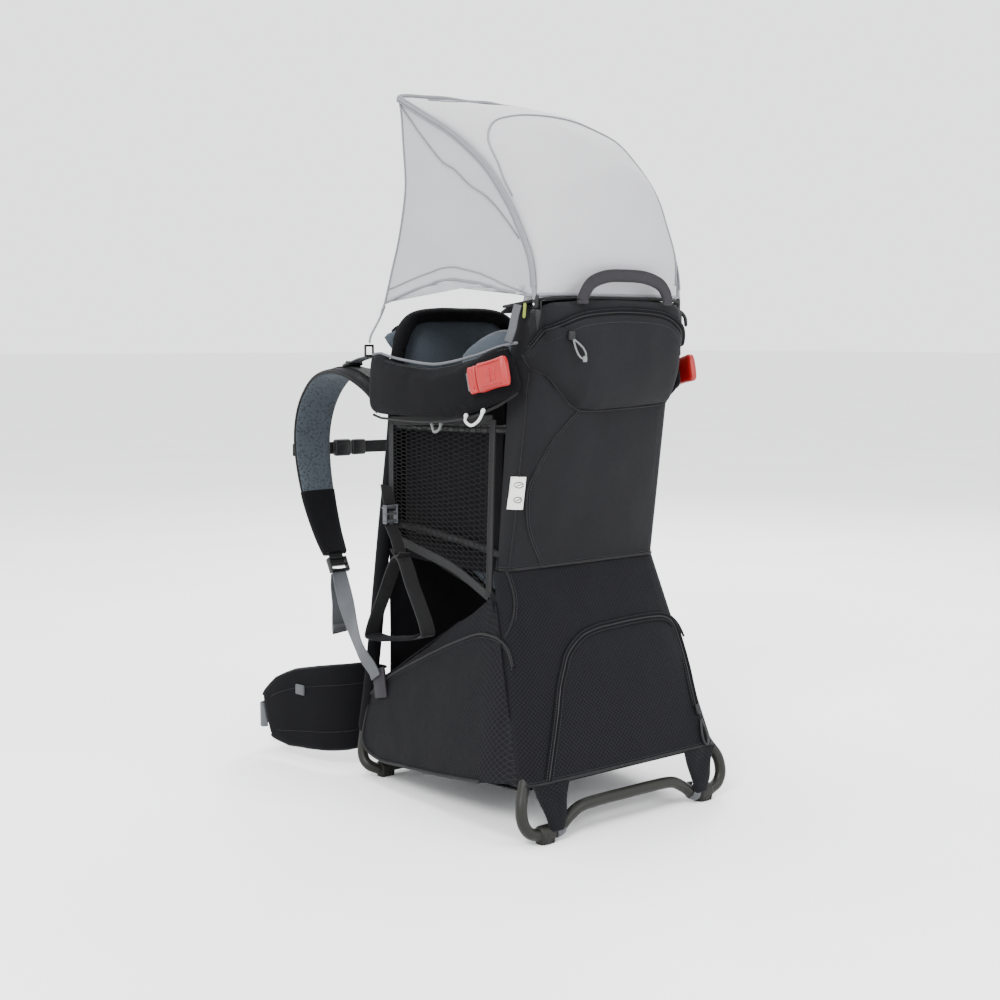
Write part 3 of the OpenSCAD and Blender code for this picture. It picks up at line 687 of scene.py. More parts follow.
def rear_bulge(x, z):
    """Softness of the upper rear wall between its seams, standing out by a few millimetres."""
    u, v = np.clip(abs(x) / 122, 0, 1), np.clip((z - WAIST_Z) / 225, 0, 1)
    wide = (1 - u ** 3) * np.sin(math.pi * v) ** 0.7 * 7
    crease = 1.6 * np.array([wobble((px, 0, pz), 46, 1) for px, pz in zip(np.ravel(x), np.ravel(z))])
    return wide + crease.reshape(np.shape(x)) * (1 - u ** 6)


def on_rear(x, z, off=1.0):
    """A point on the upper rear face, standing off it a little."""
    x, z = float(x), float(z)
    b = float(rear_bulge(np.array([x]), np.array([z]))[0])
    if np.interp(x, POCKET_LOW[:, 0], POCKET_LOW[:, 1]) < z < np.interp(x, *POCKET_TOP.T) and abs(x) < 138:
        b = max(float(pocket_bulge(x, z)), 0) + 1
    r, edge = 18.0, upper_x(z)
    inset = max(0.0, abs(x) - (edge - r))
    return np.array([x, rear_y(z) - b + (r - math.sqrt(max(r * r - inset * inset, 0))) - off, z])


def door_bulge(x, z):
    u, v = np.clip(abs(x) / 145, 0, 1), np.clip((z - 76) / 269, 0, 1)
    crease = 1.5 * np.array([wobble((px, 9, pz), 52, 2) for px, pz in zip(np.ravel(x), np.ravel(z))])
    return 6 * (1 - u ** 4) * np.sin(math.pi * v) ** 0.6 + crease.reshape(np.shape(x)) * (1 - u ** 6)


def on_door(x, z, off=1.0):
    x, z = float(x), float(z)
    b = float(door_bulge(np.array([x]), np.array([z]))[0])
    r, edge = 20.0, lower_x(z)
    inset = min(max(0.0, abs(x) - (edge - r)), r)
    return np.array([x, lower_rear_y(z) - b + (r - math.sqrt(r * r - inset * inset)) - off, z])


def wall_rows(zs, half_x, y_of, bulge, r, front, nx=44):
    """Rows of a rear wall that turns round both corners and stops at its front edge on each side."""
    rows = []
    for z in zs:
        x, y = half_x(z), y_of(z)
        fy = front(z)
        arc = [(x - r + r * math.cos(a), y + r - r * math.sin(a))
               for a in np.linspace(0, math.pi / 2, 7)]
        edge = [(x, q) for q in np.linspace(fy, y + r, 5)[:-1]]
        xs = np.linspace(-(x - r), x - r, nx)[1:-1]
        b = bulge(xs, np.full(xs.shape, z))
        left = [(-px, py) for px, py in edge + arc]
        mid = [(px, y - q) for px, q in zip(xs, b)]
        right = [(px, py) for px, py in (edge + arc)[::-1]]
        rows.append([(px, py, z) for px, py in left + mid + right])
    return np.array(rows)


def spread(name, points, thick, finish, nodes=(), body="carrier_frame", slot="pack_fabric",
           held="stretched", rests_on=()):
    """A thin cloth over a grid of points."""
    obj = Shape().grid(points, thick).put(name, [finish], slot, nodes, body=body)
    return obj


upper_rows = wall_rows(np.linspace(WAIST_Z + 1, TOP_Z - 1, 48), upper_x, rear_y, rear_bulge, 18,
                       lambda z: mix(110, 104, (z - WAIST_Z) / (TOP_Z - WAIST_Z)))
spread("upper_rear_wall", upper_rows, 2, SMOOTH, ["rear_panel"], rests_on=["rear_hoop_tube"])

# Lid between the rear wall and the cockpit, with a corded edge
lid_line = np.array([[-133, 106, 697], [-133, 78, 700], [-127, 50, 704], [-104, 35, 707], [0, 31, 708],
                     [104, 35, 707], [127, 50, 704], [133, 78, 700], [133, 106, 697]], float)
lid_edge = spline(lid_line, 8)
LID_HALF = 131
lid_rows = []
for t in np.linspace(0, 1, 14):
    row = []
    for x in np.linspace(-LID_HALF, LID_HALF, 40):
        rear = 31 + 55 * (abs(x) / 133) ** 7 + 4 * (abs(x) / 133) ** 2
        edge = (x / LID_HALF) ** 4
        row.append((x, mix(rear, 114, t), 707.5 - 10 * t ** 1.5 - 6 * edge
                    + 3.5 * math.sin(math.pi * t) * (1 - edge) + 0.8 * wobble((x, t * 80, 0), 30, 7)))
    lid_rows.append(row)
spread("lid_panel", lid_rows, 3, SMOOTH, ["top_panel"], rests_on=["upper_rear_wall"])
Shape().tube(lid_edge + (0, -1, 1), 2.0).put("lid_piping", [SEAM], "pack_fabric")

# Top pocket
xs = np.linspace(-138, 134, 64)
pocket_rows = []
for v in np.linspace(0, 1, 30):
    low = np.interp(xs, *POCKET_LOW.T)
    top = np.interp(xs, *POCKET_TOP.T)
    z = mix(low, top, v)
    b = pocket_bulge(xs, z) + 1.5
    b = b + np.array([1.3 * wobble((x, 3, q), 34, 3) for x, q in zip(xs, z)]) * math.sin(math.pi * v)
    r = 18.0
    inset = np.clip(abs(xs) - (upper_x(z) - r), 0, r)
    y = rear_y(z) - b + (r - np.sqrt(r * r - inset ** 2))
    if v == 0 or v == 1:
        y = y + 2
    pocket_rows.append(np.stack([xs, y, z], 1))
spread("top_pocket_shell", pocket_rows, 1.6, SMOOTH, ["top_pocket"], rests_on=["upper_rear_wall"])


def surface_path(points, surface, step=3.0, off=1.0):
    """A smooth path over a face, through points given as x and z."""
    flat = spline([[x, 0, z] for x, z in points], 10)
    flat = even(flat, step)
    return np.array([surface(x, z, off) for x, _, z in flat])


ZIP_FLAP = 6.5


def zip_on(path, normal, name, body):
    """A covered zip: two folded flaps meeting over a coil, with a stitch row on each."""
    path = np.asarray(path, float)
    normal = np.broadcast_to(np.asarray(normal, float), path.shape)
    along = np.gradient(path, axis=0)
    across = np.array([unit(np.cross(a, n)) for a, n in zip(along, normal)])
    nn = np.array([unit(n) for n in normal])
    s = Shape()
    for q in (-1, 1):
        prof = [(1.1, 0.4), (1.5, 1.5), (3.0, 1.9), (ZIP_FLAP, 1.2), (ZIP_FLAP + 1.2, 0.2),
                (ZIP_FLAP + 0.5, -0.9), (1.5, -0.9)]
        rings = np.array([[p + w * q * a + n * h for a, h in prof]
                          for p, w, n in zip(path, across, nn)])
        s.skin(rings, mat=0)
        s.stitches(path + across * q * (ZIP_FLAP - 1.6) + nn * 1.5, normal, mat=1)
    s.tube(path + nn * 0.2, 1.3, mat=2, n=8)
    s.put(name, [DARK, THREAD, BLACK], "pack_fabric", body=body)


def seam_on(path, name, body, r=1.3, normal=None, finish=None):
    """A raised seam with its stitching beside it."""
    s = Shape().tube(path, r, n=8)
    if normal is not None:
        along = np.gradient(path, axis=0)
        across = np.array([unit(np.cross(a, normal)) for a in along])
        s.stitches(path - across * 4.0 + unit(normal) * 0.4, normal, mat=1)
    s.put(name, [finish or SEAM, THREAD], "pack_fabric", body=body)


REAR_OUT, DOOR_OUT = (0, -1, -0.19), (0, -1, 0.36)
zip_on(surface_path([(-136, 645), (-121, 667), (-90, 681), (-53, 688), (7, 691), (72, 686), (106, 668),
                     (119, 645)], on_rear, off=0.6), REAR_OUT, "top_pocket_zip", "carrier_frame")
seam_on(surface_path(POCKET_LOW, on_rear, off=0.5), "pocket_lower_seam", "carrier_frame",
        normal=REAR_OUT)
seam_on(surface_path([(-131, 634), (-116, 654), (-88, 668), (-53, 675), (7, 678), (72, 673), (100, 657),
                      (112, 634)], on_rear, off=0.2), "pocket_face_seam", "carrier_frame", r=0.9)
seam_on(surface_path([(-46, 562), (-88, 521), (-109, 482), (-118, 449), (-108, 398), (-77, 348)],
                     on_rear, off=0.6), "rear_arc_seam", "carrier_frame", normal=REAR_OUT)
seam_on(surface_path([(-124, 610), (-126, 560), (-128, 500), (-129, 430), (-131, 352)], on_rear,
                     off=0.4), "rear_corner_seam", "carrier_frame", r=1.0)
waist = np.array([on_rear(x, WAIST_Z + 2, 0.8) for x in np.linspace(-139, 139, 90)])
seam_on(waist, "waist_seam", "carrier_frame", r=1.9, normal=REAR_OUT)

# Lower rear wall, which folds with the stand
door_zs = np.linspace(77, WAIST_Z - 0.5, 40)
door_rows = wall_rows(door_zs, lower_x, lower_rear_y, door_bulge, 20, lambda z: lower_rear_y(z) + 21,
                      nx=52)
spread("storage_rear_wall", door_rows, 2, RIPSTOP, ["storage_door"], body="stand",
       rests_on=["stand_tube"])
zip_on(surface_path([(-140, 82), (-128, 108), (-116, 135), (-103, 165), (-92, 191), (-80, 212),
                     (-66, 233), (-38, 251), (-8, 258), (20, 260), (60, 262), (100, 262), (128, 258),
                     (146, 244), (151, 222), (151, 190), (149, 160), (149, 132)], on_door, off=0.5),
       DOOR_OUT, "storage_zip", "stand")
seam_on(surface_path([(-134, 346), (-133, 315), (-139, 290), (-152, 262)], on_door, off=0.6),
        "lower_corner_seam", "stand", normal=DOOR_OUT)
hem = np.array([on_door(x, 78.5, 0.2) for x in np.linspace(-172, 172, 110)])
seam_on(hem, "door_hem", "stand", r=1.9, normal=DOOR_OUT, finish=BINDING)

# Sides of the storage compartment: the pocket's slanted top edge, then its lower edge
SIDE_TOP = np.array([[40, 345], [98, 345], [118, 306], [150, 282], [186, 262], [250, 218], [308, 182],
                     [372, 146], [390, 130]], float)
SIDE_LOW = np.array([[40, 74], [100, 62], [188, 51], [284, 42], [334, 38], [373, 44], [390, 62]], float)
ARC = np.array([[54, 228], [66, 246], [88, 257], [110, 259], [132, 257], [160, 247], [218, 222],
                [308, 177], [350, 152], [388, 126]], float)


def side_point(y, z, off=0.0):
    """A point on the near side of the storage compartment, pouched below the slanted edge."""
    arc = np.interp(y, *ARC.T)
    low = np.interp(y, *SIDE_LOW.T)
    v = np.clip((arc - z) / max(arc - low, 1), 0, 1)
    u = np.clip((y - 60) / 325, 0, 1)
    pouch = 5.5 * math.sin(math.pi * v) ** 0.6 * math.sin(math.pi * u) ** 0.5
    crease = 1.6 * wobble((0, y, z), 44, 4) * math.sin(math.pi * u) ** 0.4
    front = 8 * smooth_step(y, 350, 392) * smooth_step(z, 60, 150)
    return np.array([-(lower_x(z) + pouch + crease + off - front), y, z])


side_rows = []
for t in np.linspace(0, 1, 50):
    row = []
    for v in np.linspace(0, 1, 34):
        y = mix(0, 388, t)
        z = mix(np.interp(y, *SIDE_LOW.T), np.interp(y, *SIDE_TOP.T), v)
        y = max(y, lower_rear_y(z) + 20)
        z = mix(np.interp(y, *SIDE_LOW.T), np.interp(y, *SIDE_TOP.T), v)
        row.append(side_point(y, z))
    side_rows.append(row)
side_rows = np.array(side_rows)
for label, sign in SIDES:
    rows = side_rows * (-sign, 1, 1)
    obj = spread("storage_side_" + label, rows, -2 * sign, RIPSTOP, ["storage_bag"], body=None)
    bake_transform(obj)
    line = even(spline([[0, y, z] for y, z in ARC], 8), 3)
    path = np.array([side_point(y, z, 1.2) for _, y, z in line]) * (-sign, 1, 1)
    s = Shape().tube(path, 1.8, n=8).stitches(path + (sign * 0.6, 0, -4.5), (sign, 0, 0), mat=1)
    low_line = even(spline([[0, y, z + 1] for y, z in SIDE_LOW[1:]], 8), 3)
    path = np.array([side_point(y, z, 0.6) for _, y, z in low_line]) * (-sign, 1, 1)
    s.tube(path, 2.2, n=8, mat=2)
    edge = np.array([side_point(389, z, 0.4) for z in np.linspace(62, 128, 24)]) * (-sign, 1, 1)
    s.tube(edge, 2.2, n=8, mat=2)
    obj = s.put("storage_side_seams_" + label, [SEAM, THREAD, BINDING], "pack_fabric", body=None)
    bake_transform(obj)

floor_rows = [[(x * mix(1, 1.06, t), mix(16, 372, t), mix(70, 44, t) - 4 * (1 - (x / 172) ** 2)
                * math.sin(math.pi * t)) for x in np.linspace(-170, 170, 25)]
              for t in np.linspace(0, 1, 21)]
base = spread("storage_floor", floor_rows, 2, DARK, body=None)
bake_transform(base)

deck_rows = [[(x * mix(151, 166, t), mix(180, 380, t), mix(263, 142, t) + 3.5
               * wobble((x * 150, 0, t * 230), 60, 6) + 6 * (1 - x * x) * math.sin(math.pi * t))
              for x in np.linspace(-1, 1, 30)] for t in np.linspace(0, 1, 24)]
spread("storage_deck_cloth", deck_rows, -2, DARK, ["storage_deck"])

# Cloth corners tied down round the stand
for label, sign in SIDES:
    rows = []
    for v in np.linspace(0, 1, 16):
        z = mix(77, 17, v)
        xa, xb = mix(-168, -144, v ** 0.8), mix(-108, -122, v ** 0.9)
        row = []
        for u in np.linspace(0, 1, 16):
            x = mix(xa, xb, u)
            out = 2 + 9.5 * smooth_step(v, 0.25, 0.8) * (1 - (2 * u - 1) ** 4 * 0.25)
            row.append((-x * sign, -out - 1.2 * wobble((x, 0, z), 18, 5), z))
        rows.append(row)
    spread("stand_corner_cloth_" + label, rows, -1.6 * sign, RIPSTOP, ["stand_gussets"], body="stand",
           rests_on=["stand_tube"])
    s = Shape()
    for col in (0, -1):
        s.tube(np.array(rows)[:, col], 1.4, n=8)
    s.tube(np.array(rows)[-1], 1.4, n=8)
    s.put("stand_corner_edge_" + label, [BINDING], "pack_fabric", body="stand")

# ---- Cockpit walls, mesh sides and seat -----------------------------------------------------

SWELL_PRESSURE, SWELL_FRAMES = 4.0, 20


def soften(obj, voxel, cap):
    """Swells a closed pad as padded fabric by a short cloth simulation, applied to its mesh."""
    bpy.context.view_layer.objects.active = obj
    remesh = obj.modifiers.new("Remesh", "REMESH")
    remesh.mode, remesh.voxel_size = "VOXEL", voxel
    graph = bpy.context.evaluated_depsgraph_get()
    start = bpy.data.meshes.new_from_object(obj.evaluated_get(graph))
    mats = list(obj.data.materials)
    obj.modifiers.clear()
    obj.data = start
    before = np.empty(len(start.vertices) * 3)
    start.vertices.foreach_get("co", before)
    before = before.reshape(-1, 3)
    sim = obj.modifiers.new("Cloth", "CLOTH")
    sim.settings.use_pressure = True
    sim.settings.uniform_pressure_force = SWELL_PRESSURE
    sim.settings.quality = 5
    sim.settings.tension_stiffness = sim.settings.compression_stiffness = 12
    sim.settings.bending_stiffness = 0.4
    sim.settings.effector_weights.gravity = 0
    sim.point_cache.frame_start, sim.point_cache.frame_end = 1, SWELL_FRAMES
    for f in range(1, SWELL_FRAMES + 1):
        scene.frame_set(f)
    graph = bpy.context.evaluated_depsgraph_get()
    swollen = obj.evaluated_get(graph).data
    after = np.empty(len(swollen.vertices) * 3)
    swollen.vertices.foreach_get("co", after)
    step = after.reshape(-1, 3) - before
    far = np.linalg.norm(step, axis=1, keepdims=True)
    step *= np.minimum(1, cap / np.maximum(far, 1e-9))
    obj.modifiers.clear()
    start.vertices.foreach_set("co", (before + step).ravel())
    scene.frame_set(1)
    if not start.materials:
        for m in mats:
            start.materials.append(m)
    start.polygons.foreach_set("use_smooth", [True] * len(start.polygons))
    mod = obj.modifiers.new("Subdivision", "SUBSURF")
    mod.levels = mod.render_levels = 1
    return obj


def pad_on(path, widths, thick, up, n=36, power=0.62, seed=0, rough=0.0):
    """A crowned pad along a path, closing to a thin rounded rim at both ends."""
    path = np.asarray(path, float)
    m = len(path)
    d = np.r_[0, np.cumsum(np.linalg.norm(np.diff(path, axis=0), axis=1))]
    near = np.minimum(d, d[-1] - d)
    r = thick * 0.9
    grow = np.sqrt(np.clip(1 - (1 - np.clip(near / r, 0, 1)) ** 2, 0, 1))
    widths = np.broadcast_to(np.asarray(widths, float), (m,))
    profiles = [pad_profile(thick * (0.18 + 0.82 * g), w * (0.93 + 0.07 * g), n, power)
                for g, w in zip(grow, widths)]
    rings = rings_along(path, profiles, up)
    if rough:
        mid = rings.mean(1, keepdims=True)
        for i in range(rings.shape[0]):
            for j in range(rings.shape[1]):
                rings[i, j] += unit(rings[i, j] - mid[i, 0]) * rough * wobble(rings[i, j], 38, seed)
    return rings


def cushion(name, rings, finish, nodes, voxel=0, cap=0, body="carrier_frame"):
    """A padded piece over its rings, swollen by the simulation where a voxel size is given."""
    pad = Shape().skin(rings).put(name, [finish], "pad_fabric", nodes, body=body, sub=1)
    if voxel:
        soften(pad, voxel, cap)
    return pad


def dense(points, values, n=8):
    """A path through the points with n steps between each two, and its values there."""
    path = spline(points, n)
    t = np.linspace(0, len(points) - 1, len(path))
    return path, np.interp(t, range(len(points)), values)


wall_line = [[144, 64, 618], [151, 96, 606], [155, 150, 591], [156, 230, 581], [152, 320, 583],
             [145, 380, 587], [141, 408, 588]]
wall_h = [66, 78, 82, 80, 88, 96, 90]
for label, sign in SIDES:
    path, heights = dense(wall_line, wall_h, 8)
    path = path * (sign, 1, 1)
    rings = pad_on(path, heights - 4, 25, (0, 0, 1), power=0.7, rough=1.2, seed=11)
    cushion("cockpit_wall_" + label, rings, PAD, ["cockpit_pad_" + label], 0.005, 0.004)
    s = Shape()
    up = np.array([0, 0, 1.0])
    top, bottom = path + up * (heights / 2 - 0.5)[:, None], path - up * (heights / 2 - 0.5)[:, None]
    s.tube(top, 2.1, mat=0, n=10)
    s.tube(bottom, 1.9, mat=1, n=10)
    out = np.array([sign, 0, 0])
    s.stitches(top + out * 8.5 - up * 6.5, (sign, 0, 0.5), mat=2)
    face = path + out * 12.4
    k = int(len(path) * 0.86)
    panel = np.array([face[k] + up * h + np.array([0, 5 * math.sin(h / 34), 0]) - out * 5.5
                      * (abs(h) / 42) ** 2.6 for h in np.linspace(-40, 40, 26)])
    s.tube(panel, 1.2, mat=1, n=8)
    s.put("cockpit_wall_binding_" + label, [PIPING, SEAM, THREAD], "pad_fabric")

front_line = [[-110, 402, 634], [-96, 402, 642], [-50, 403, 653], [0, 403, 655], [50, 403, 653],
              [96, 402, 642], [110, 402, 634]]
path = spline(front_line, 8)
cushion("cockpit_front_pad", pad_on(path, 66, 14, (0, 0, 1), rough=0.8, seed=12), SLATE,
        ["cockpit_pad_front"], 0.005, 0.003)
Shape().tube(path + (0, 0, 33.5), 2.2, n=10).put("cockpit_front_binding", [BINDING], "pad_fabric")

rim_path = spline(whole_line([[0, 385, 692], [70, 385, 689], [98, 385, 672], [112, 385, 636]]), 10)
rim_path = even(rim_path, 6)
rim = pad_on(rim_path, 24, 21, (0, 1, 0), power=0.85, rough=0.9, seed=18)
cushion("cockpit_rim_sleeve", rim, PAD, [])
lining_rows = []
for v in np.linspace(0, 1, 16):
    half = mix(104, 96, v ** 1.5)
    lining_rows.append([(half * u, 391 - 10 * (1 - u * u) * math.sin(math.pi * v) + 1.2
                         * wobble((u * 100, 0, v * 70), 30, 9), mix(590, 686 - 12 * abs(u) ** 5, v))
                        for u in np.linspace(-1, 1, 36)])
spread("cockpit_front_lining", lining_rows, 2.0, SLATE, slot="pad_fabric",
       rests_on=["cockpit_rim_sleeve"])
for label, sign in SIDES:
    rows = [[((104 + 3 * wobble((0, y, z), 60, 19)) * sign, y, z) for y in np.linspace(140, 376, 30)]
            for z in np.linspace(330, 600, 30)]
    spread("cockpit_liner_" + label, rows, -1.8 * sign, DARK, slot="pad_fabric")

wing_path = spline([[96, 124, 640], [105, 150, 636], [108, 190, 624], [106, 226, 610]], 9)
wing_heights = 60 * np.sin(np.linspace(0.75, math.pi - 0.55, len(wing_path))) ** 0.55
for label, sign in SIDES:
    path = wing_path * (sign, 1, 1)
    cushion("head_wing_" + label, pad_on(path, wing_heights, 13, (0, 0, 1), rough=0.8, seed=13), SLATE,
            ["head_wings"], 0.0045, 0.004)
    rim = path + np.array([0, 0, 1.0]) * (wing_heights / 2 - 0.5)[:, None]
    Shape().tube(rim, 1.9, n=10).put("head_wing_binding_" + label, [PIPING], "pad_fabric")


def lattice(a, b, c, d, cell=8.6, wire=1.15, thick=1.1, depth=(0, 0, 0)):
    """An open hexagonal mesh filling a four-cornered panel, as real strands round open holes."""
    a, b, c, d = (np.asarray(p, float) for p in (a, b, c, d))
    du, dv = np.linalg.norm(c - b), np.linalg.norm(a - b)
    nu, nv = int(round(du / (cell * 1.5))), int(round(dv / (cell * 0.87)))
    depth = np.asarray(depth)
    at = lambda u, v: (mix(mix(b, c, u), mix(a, d, u), v)
                       + depth * math.sin(math.pi * u) * math.sin(math.pi * v))
    verts, edges = {}, set()
    for i in range(-1, nu + 1):
        for j in range(-1, nv + 1):
            cu, cv = i + 0.5, (j + 0.5 + 0.5 * (i % 2))
            ring = []
            for k in range(6):
                ang = math.pi / 3 * k
                u = (cu + 0.667 * math.cos(ang)) / nu
                v = (cv + 0.577 * math.sin(ang)) / nv
                ring.append((round(min(max(u, 0), 1), 4), round(min(max(v, 0), 1), 4)))
            for k in range(6):
                p, q = ring[k], ring[(k + 1) % 6]
                if p != q:
                    edges.add((min(p, q), max(p, q)))
    s = Shape()
    normal = unit(np.cross(c - b, a - b))
    for (p, q) in sorted(edges):
        P, Q = at(*p), at(*q)
        along = unit(Q - P)
        w = np.cross(along, normal) * wire / 2
        h = normal * thick / 2
        ring = lambda m: [m + w * 0.9 + h * 0.5, m + h, m - w * 0.9 + h * 0.5, m - w * 0.9 - h * 0.5,
                          m - h, m + w * 0.9 - h * 0.5]
        s.skin([ring(P - along * 0.35), ring(Q + along * 0.35)])
    return s


MESH_CORNERS = [(136.5, 124, 548), (143.5, 124, 308), (137.5, 368, 366), (136.5, 368, 536)]
for label, sign in SIDES:
    corners = [np.array(p) * (sign, 1, 1) for p in MESH_CORNERS]
    s = lattice(*corners, depth=(-3 * sign, 0, 0))
    net = cloth("Black net " + label, linear(13, 13, 14), space="object", crease=0.1)
    s.put("side_mesh_net_" + label, [net], "mesh_fabric", ["side_mesh_" + label])
    a, b, c, d = corners
    rim = Shape()
    curve_low = spline([b, mix(b, c, 0.35) + (0, 0, 9), mix(b, c, 0.75) + (0, 0, 3), c], 10)
    for line in (np.linspace(a, b, 30), curve_low, np.linspace(c, d, 20), np.linspace(d, a, 20)):
        rim.band(line, 13, 2.2, up=(0, 0.7, 0.7))
    rim.stitches(np.linspace(a, b, 30) + np.array([sign * 1.6, 4, 0]), (sign, 0, 0), mat=1)
    rim.put("side_mesh_binding_" + label, [BINDING, THREAD], "mesh_fabric")

seat_path = spline([[0, 148, 316], [0, 142, 400], [0, 138, 500], [0, 136, 584]], 10)
cushion("child_seat_back", pad_on(seat_path, 168, 15, (1, 0, 0), rough=1.0, seed=14), SLATE,
        ["seat_back"], 0.006, 0.004, body="seat")
base_path, base_w = dense([[0, 162, 306], [0, 220, 300], [0, 280, 302], [0, 322, 318]],
                          [150, 112, 72, 62], 10)
cushion("child_seat_base", pad_on(base_path, base_w, 15, (1, 0, 0), rough=1.0, seed=15), SLATE,
        ["seat_base"], 0.005, 0.004, body="seat")
harness_line = spline([[46, 150, 560], [44, 170, 536], [38, 206, 480], [26, 228, 420], [16, 240, 376],
                       [13, 236, 330], [12, 232, 313]], 8)
harness = Shape().band(harness_line, 22).both()
harness.put("child_harness_webbing", [BLACK_WEB], "black_webbing", ["child_harness"], body="seat")
buckle = dict(turn=rot_x(20), at=(0, 219, 446))
s = Shape().box((-43, -4.5, -14), (43, 4.5, 14), 4, **buckle)
s.box((-10, -6.5, -9), (10, -4, 9), 2, **buckle)
s.put("child_harness_buckle", [BLACK], "black_plastic", ["child_buckle"], body="seat")

back_path = spline([[0, 403, 120], [0, 403, 260], [0, 403, 420], [0, 403, 596]], 12)
pad = cushion("wearer_back_panel", pad_on(back_path, 248, 15, (1, 0, 0), rough=1.0, seed=16), SPACER,
              ["back_panel"], 0.007, 0.003)
pad.data.materials.append(DARK)
for face in pad.data.polygons:
    face.material_index = 1 if face.normal.y < 0.2 else 0
lumbar_path = spline([[0, 421, 60], [0, 421, 120], [0, 421, 175], [0, 421, 215]], 8)
cushion("lumbar_cushion", pad_on(lumbar_path, 203, 15, (1, 0, 0), rough=1.0, seed=17), SPACER,
        ["lumbar_pad"], 0.006, 0.004)

# ---- Release buckles, loops and stirrups ----------------------------------------------------

RELEASE_TURN = rot_z(-6) @ rot_x(-13)
RELEASE_AT = np.array([166, 88, 608.0])


def on_wall(s):
    """Turns a shape made about the buckle's own middle to lie along the right-hand wall."""
    s.v = [tuple(RELEASE_TURN @ np.array(p) + RELEASE_AT) for p in s.v]
    return s


def bow(width, y0, y1, x0, x1, r=6, crown=2.0):
    """A rounded buckle body along Y: an oval outline, crowned on its outer face."""
    rings = []
    for t in np.linspace(0, 1, 22):
        y = mix(y0, y1, t)
        edge = min(t * (y1 - y0), (1 - t) * (y1 - y0))
        pull = math.sqrt(max(1 - (1 - min(edge / r, 1)) ** 2, 0.02))
        half = (width / 2) * (0.80 + 0.20 * pull) * (1 - 0.07 * math.sin(math.pi * t))
        ring = []
        for a in np.linspace(0, 2 * math.pi, 33)[:-1]:
            c, q = math.cos(a), math.sin(a)
            x = mix(x0, x1, 0.5) + np.sign(c) * abs(c) ** 0.45 * (x1 - x0) / 2 * (0.55 + 0.45 * pull)
            x += crown * (1 - q * q) * (c > 0) * pull
            ring.append((x, y, np.sign(q) * abs(q) ** 0.62 * half))
        rings.append(ring)
    return Shape().skin(rings)


for label, sign in SIDES:
    body = bow(40, -36, 18, 0.5, 12.5)
    for z in (-15.5, 15.5):
        body.box((10.5, -28, z - 1.2), (14.2, 12, z + 1.2), 0.8)
    body.box((11.6, -21, -9.5), (15.4, -2, 9.5), 1.6)
    body.box((12.4, -20, -0.6), (16.0, -3, 0.6), 0.4)
    body.box((12.4, -12, -9), (16.0, -11, 9), 0.4)
    clip_part = bow(38, 19, 35, 1.5, 12, r=4, crown=1.2)
    clip_part.box((10, 23, -13), (13.6, 26, 13), 0.8)
    loop = Shape().band([[7, 27, 0], [8, 36, 0], [5, 42, 0], [-1, 47, 0], [-3, 52, 0]], 24, up=(0, 0, 1))
    tongue = "tongue_" + label
    for shape, name, finish, slot, nodes, owner, sharp in (
            (body, "release_body_", RED, "red_plastic", ["release_buckles"], "carrier_frame", 50),
            (clip_part, "release_tongue_end_", RED, "red_plastic", ["release_" + tongue], tongue, 50),
            (loop, "release_webbing_", GREY_WEB, "grey_webbing", [], tongue, 40)):
        on_wall(shape).on_side(sign).put(name + label, [finish], slot, nodes, body=owner, sharp=sharp)

LOOP_R = 2.0
LOOPS = (("pale", [[165, 108, 561], [167, 116, 548], [167, 132, 541], [166, 146, 546], [165, 146, 553]],
          WHITE_CORD),
         ("grey", [[150, 224, 538.5], [151, 228, 530], [151, 240, 527], [150, 246, 538]], GREY_CORD))
for label, sign in SIDES:
    for key, line, finish in LOOPS:
        path = spline(line, 8) * (sign, 1, 1)
        knots = Shape()
        for end in (path[:3], path[-3:]):
            knots.tube(end + (0, 0, 1), LOOP_R * 1.5, n=10)
        knots = knots.put(f"gear_loop_knots_{key}_{label}", [finish], "white_cord")
        obj = Shape().tube(path, LOOP_R, n=12)
        obj = obj.put(f"gear_loop_{key}_{label}", [finish], "white_cord", ["gear_loops"])

for label, sign in SIDES:
    drop = spline([[150, 352, 384], [152, 334, 364], [155, 320, 346]], 8)
    ring = spline([[156, 319, 342], [164, 352, 278], [169, 374, 228], [170, 366, 216], [171, 300, 226],
                   [171, 240, 238], [170, 232, 250], [163, 276, 302]], 10, closed=True)
    s = Shape().band(drop, 20).band(ring, 24, 2.6, closed=True)
    s.skin(pad_on(even(spline([[169.5, 371, 219], [170, 340, 219], [171, 300, 226], [171, 262, 233],
                               [170.5, 236, 242]], 8), 4), 30, 6.5, (1, 0, 0)), mat=1)
    s.band(spline([[156, 330, 352], [156, 320, 344], [158, 310, 344], [157, 306, 349]], 6), 20)
    for q in (-10.3, 10.3):
        s.stitches(drop + (q, 0, 0) * np.ones((len(drop), 1)) + (0, -1.2, 0), (0, -1, 0.4), mat=2,
                   r=0.3)
    s = s.on_side(sign)
    s.put("stirrup_webbing_" + label, [BLACK_WEB, PAD, THREAD], "black_webbing", ["stirrup_" + label],
          body="foot_loop_" + label)

s = Shape()
spot = dict(at=(150, 352, 400))
for z in (-12, -1, 9.5):
    s.box((-11, -4.5, z), (11, 4.5, z + 4), 1.6, **spot)
for x in (-11, 8):
    s.box((x, -5, -14), (x + 3, 5, 14), 1.4, **spot)
s.box((-10, -3, 8), (10, 9, 11), 1.2, **spot)
s.both().put("stirrup_ladder_locks", [GREY], "grey_plastic", ["stirrup_locks"])
s = Shape().band([[150, 352, 405], [149.5, 356, 418], [147, 364, 430], [143, 372, 440]], 20)
s.both().put("stirrup_anchor_webbing", [BLACK_WEB], "black_webbing")

# ---- Wearer's harness and hipbelt -----------------------------------------------------------

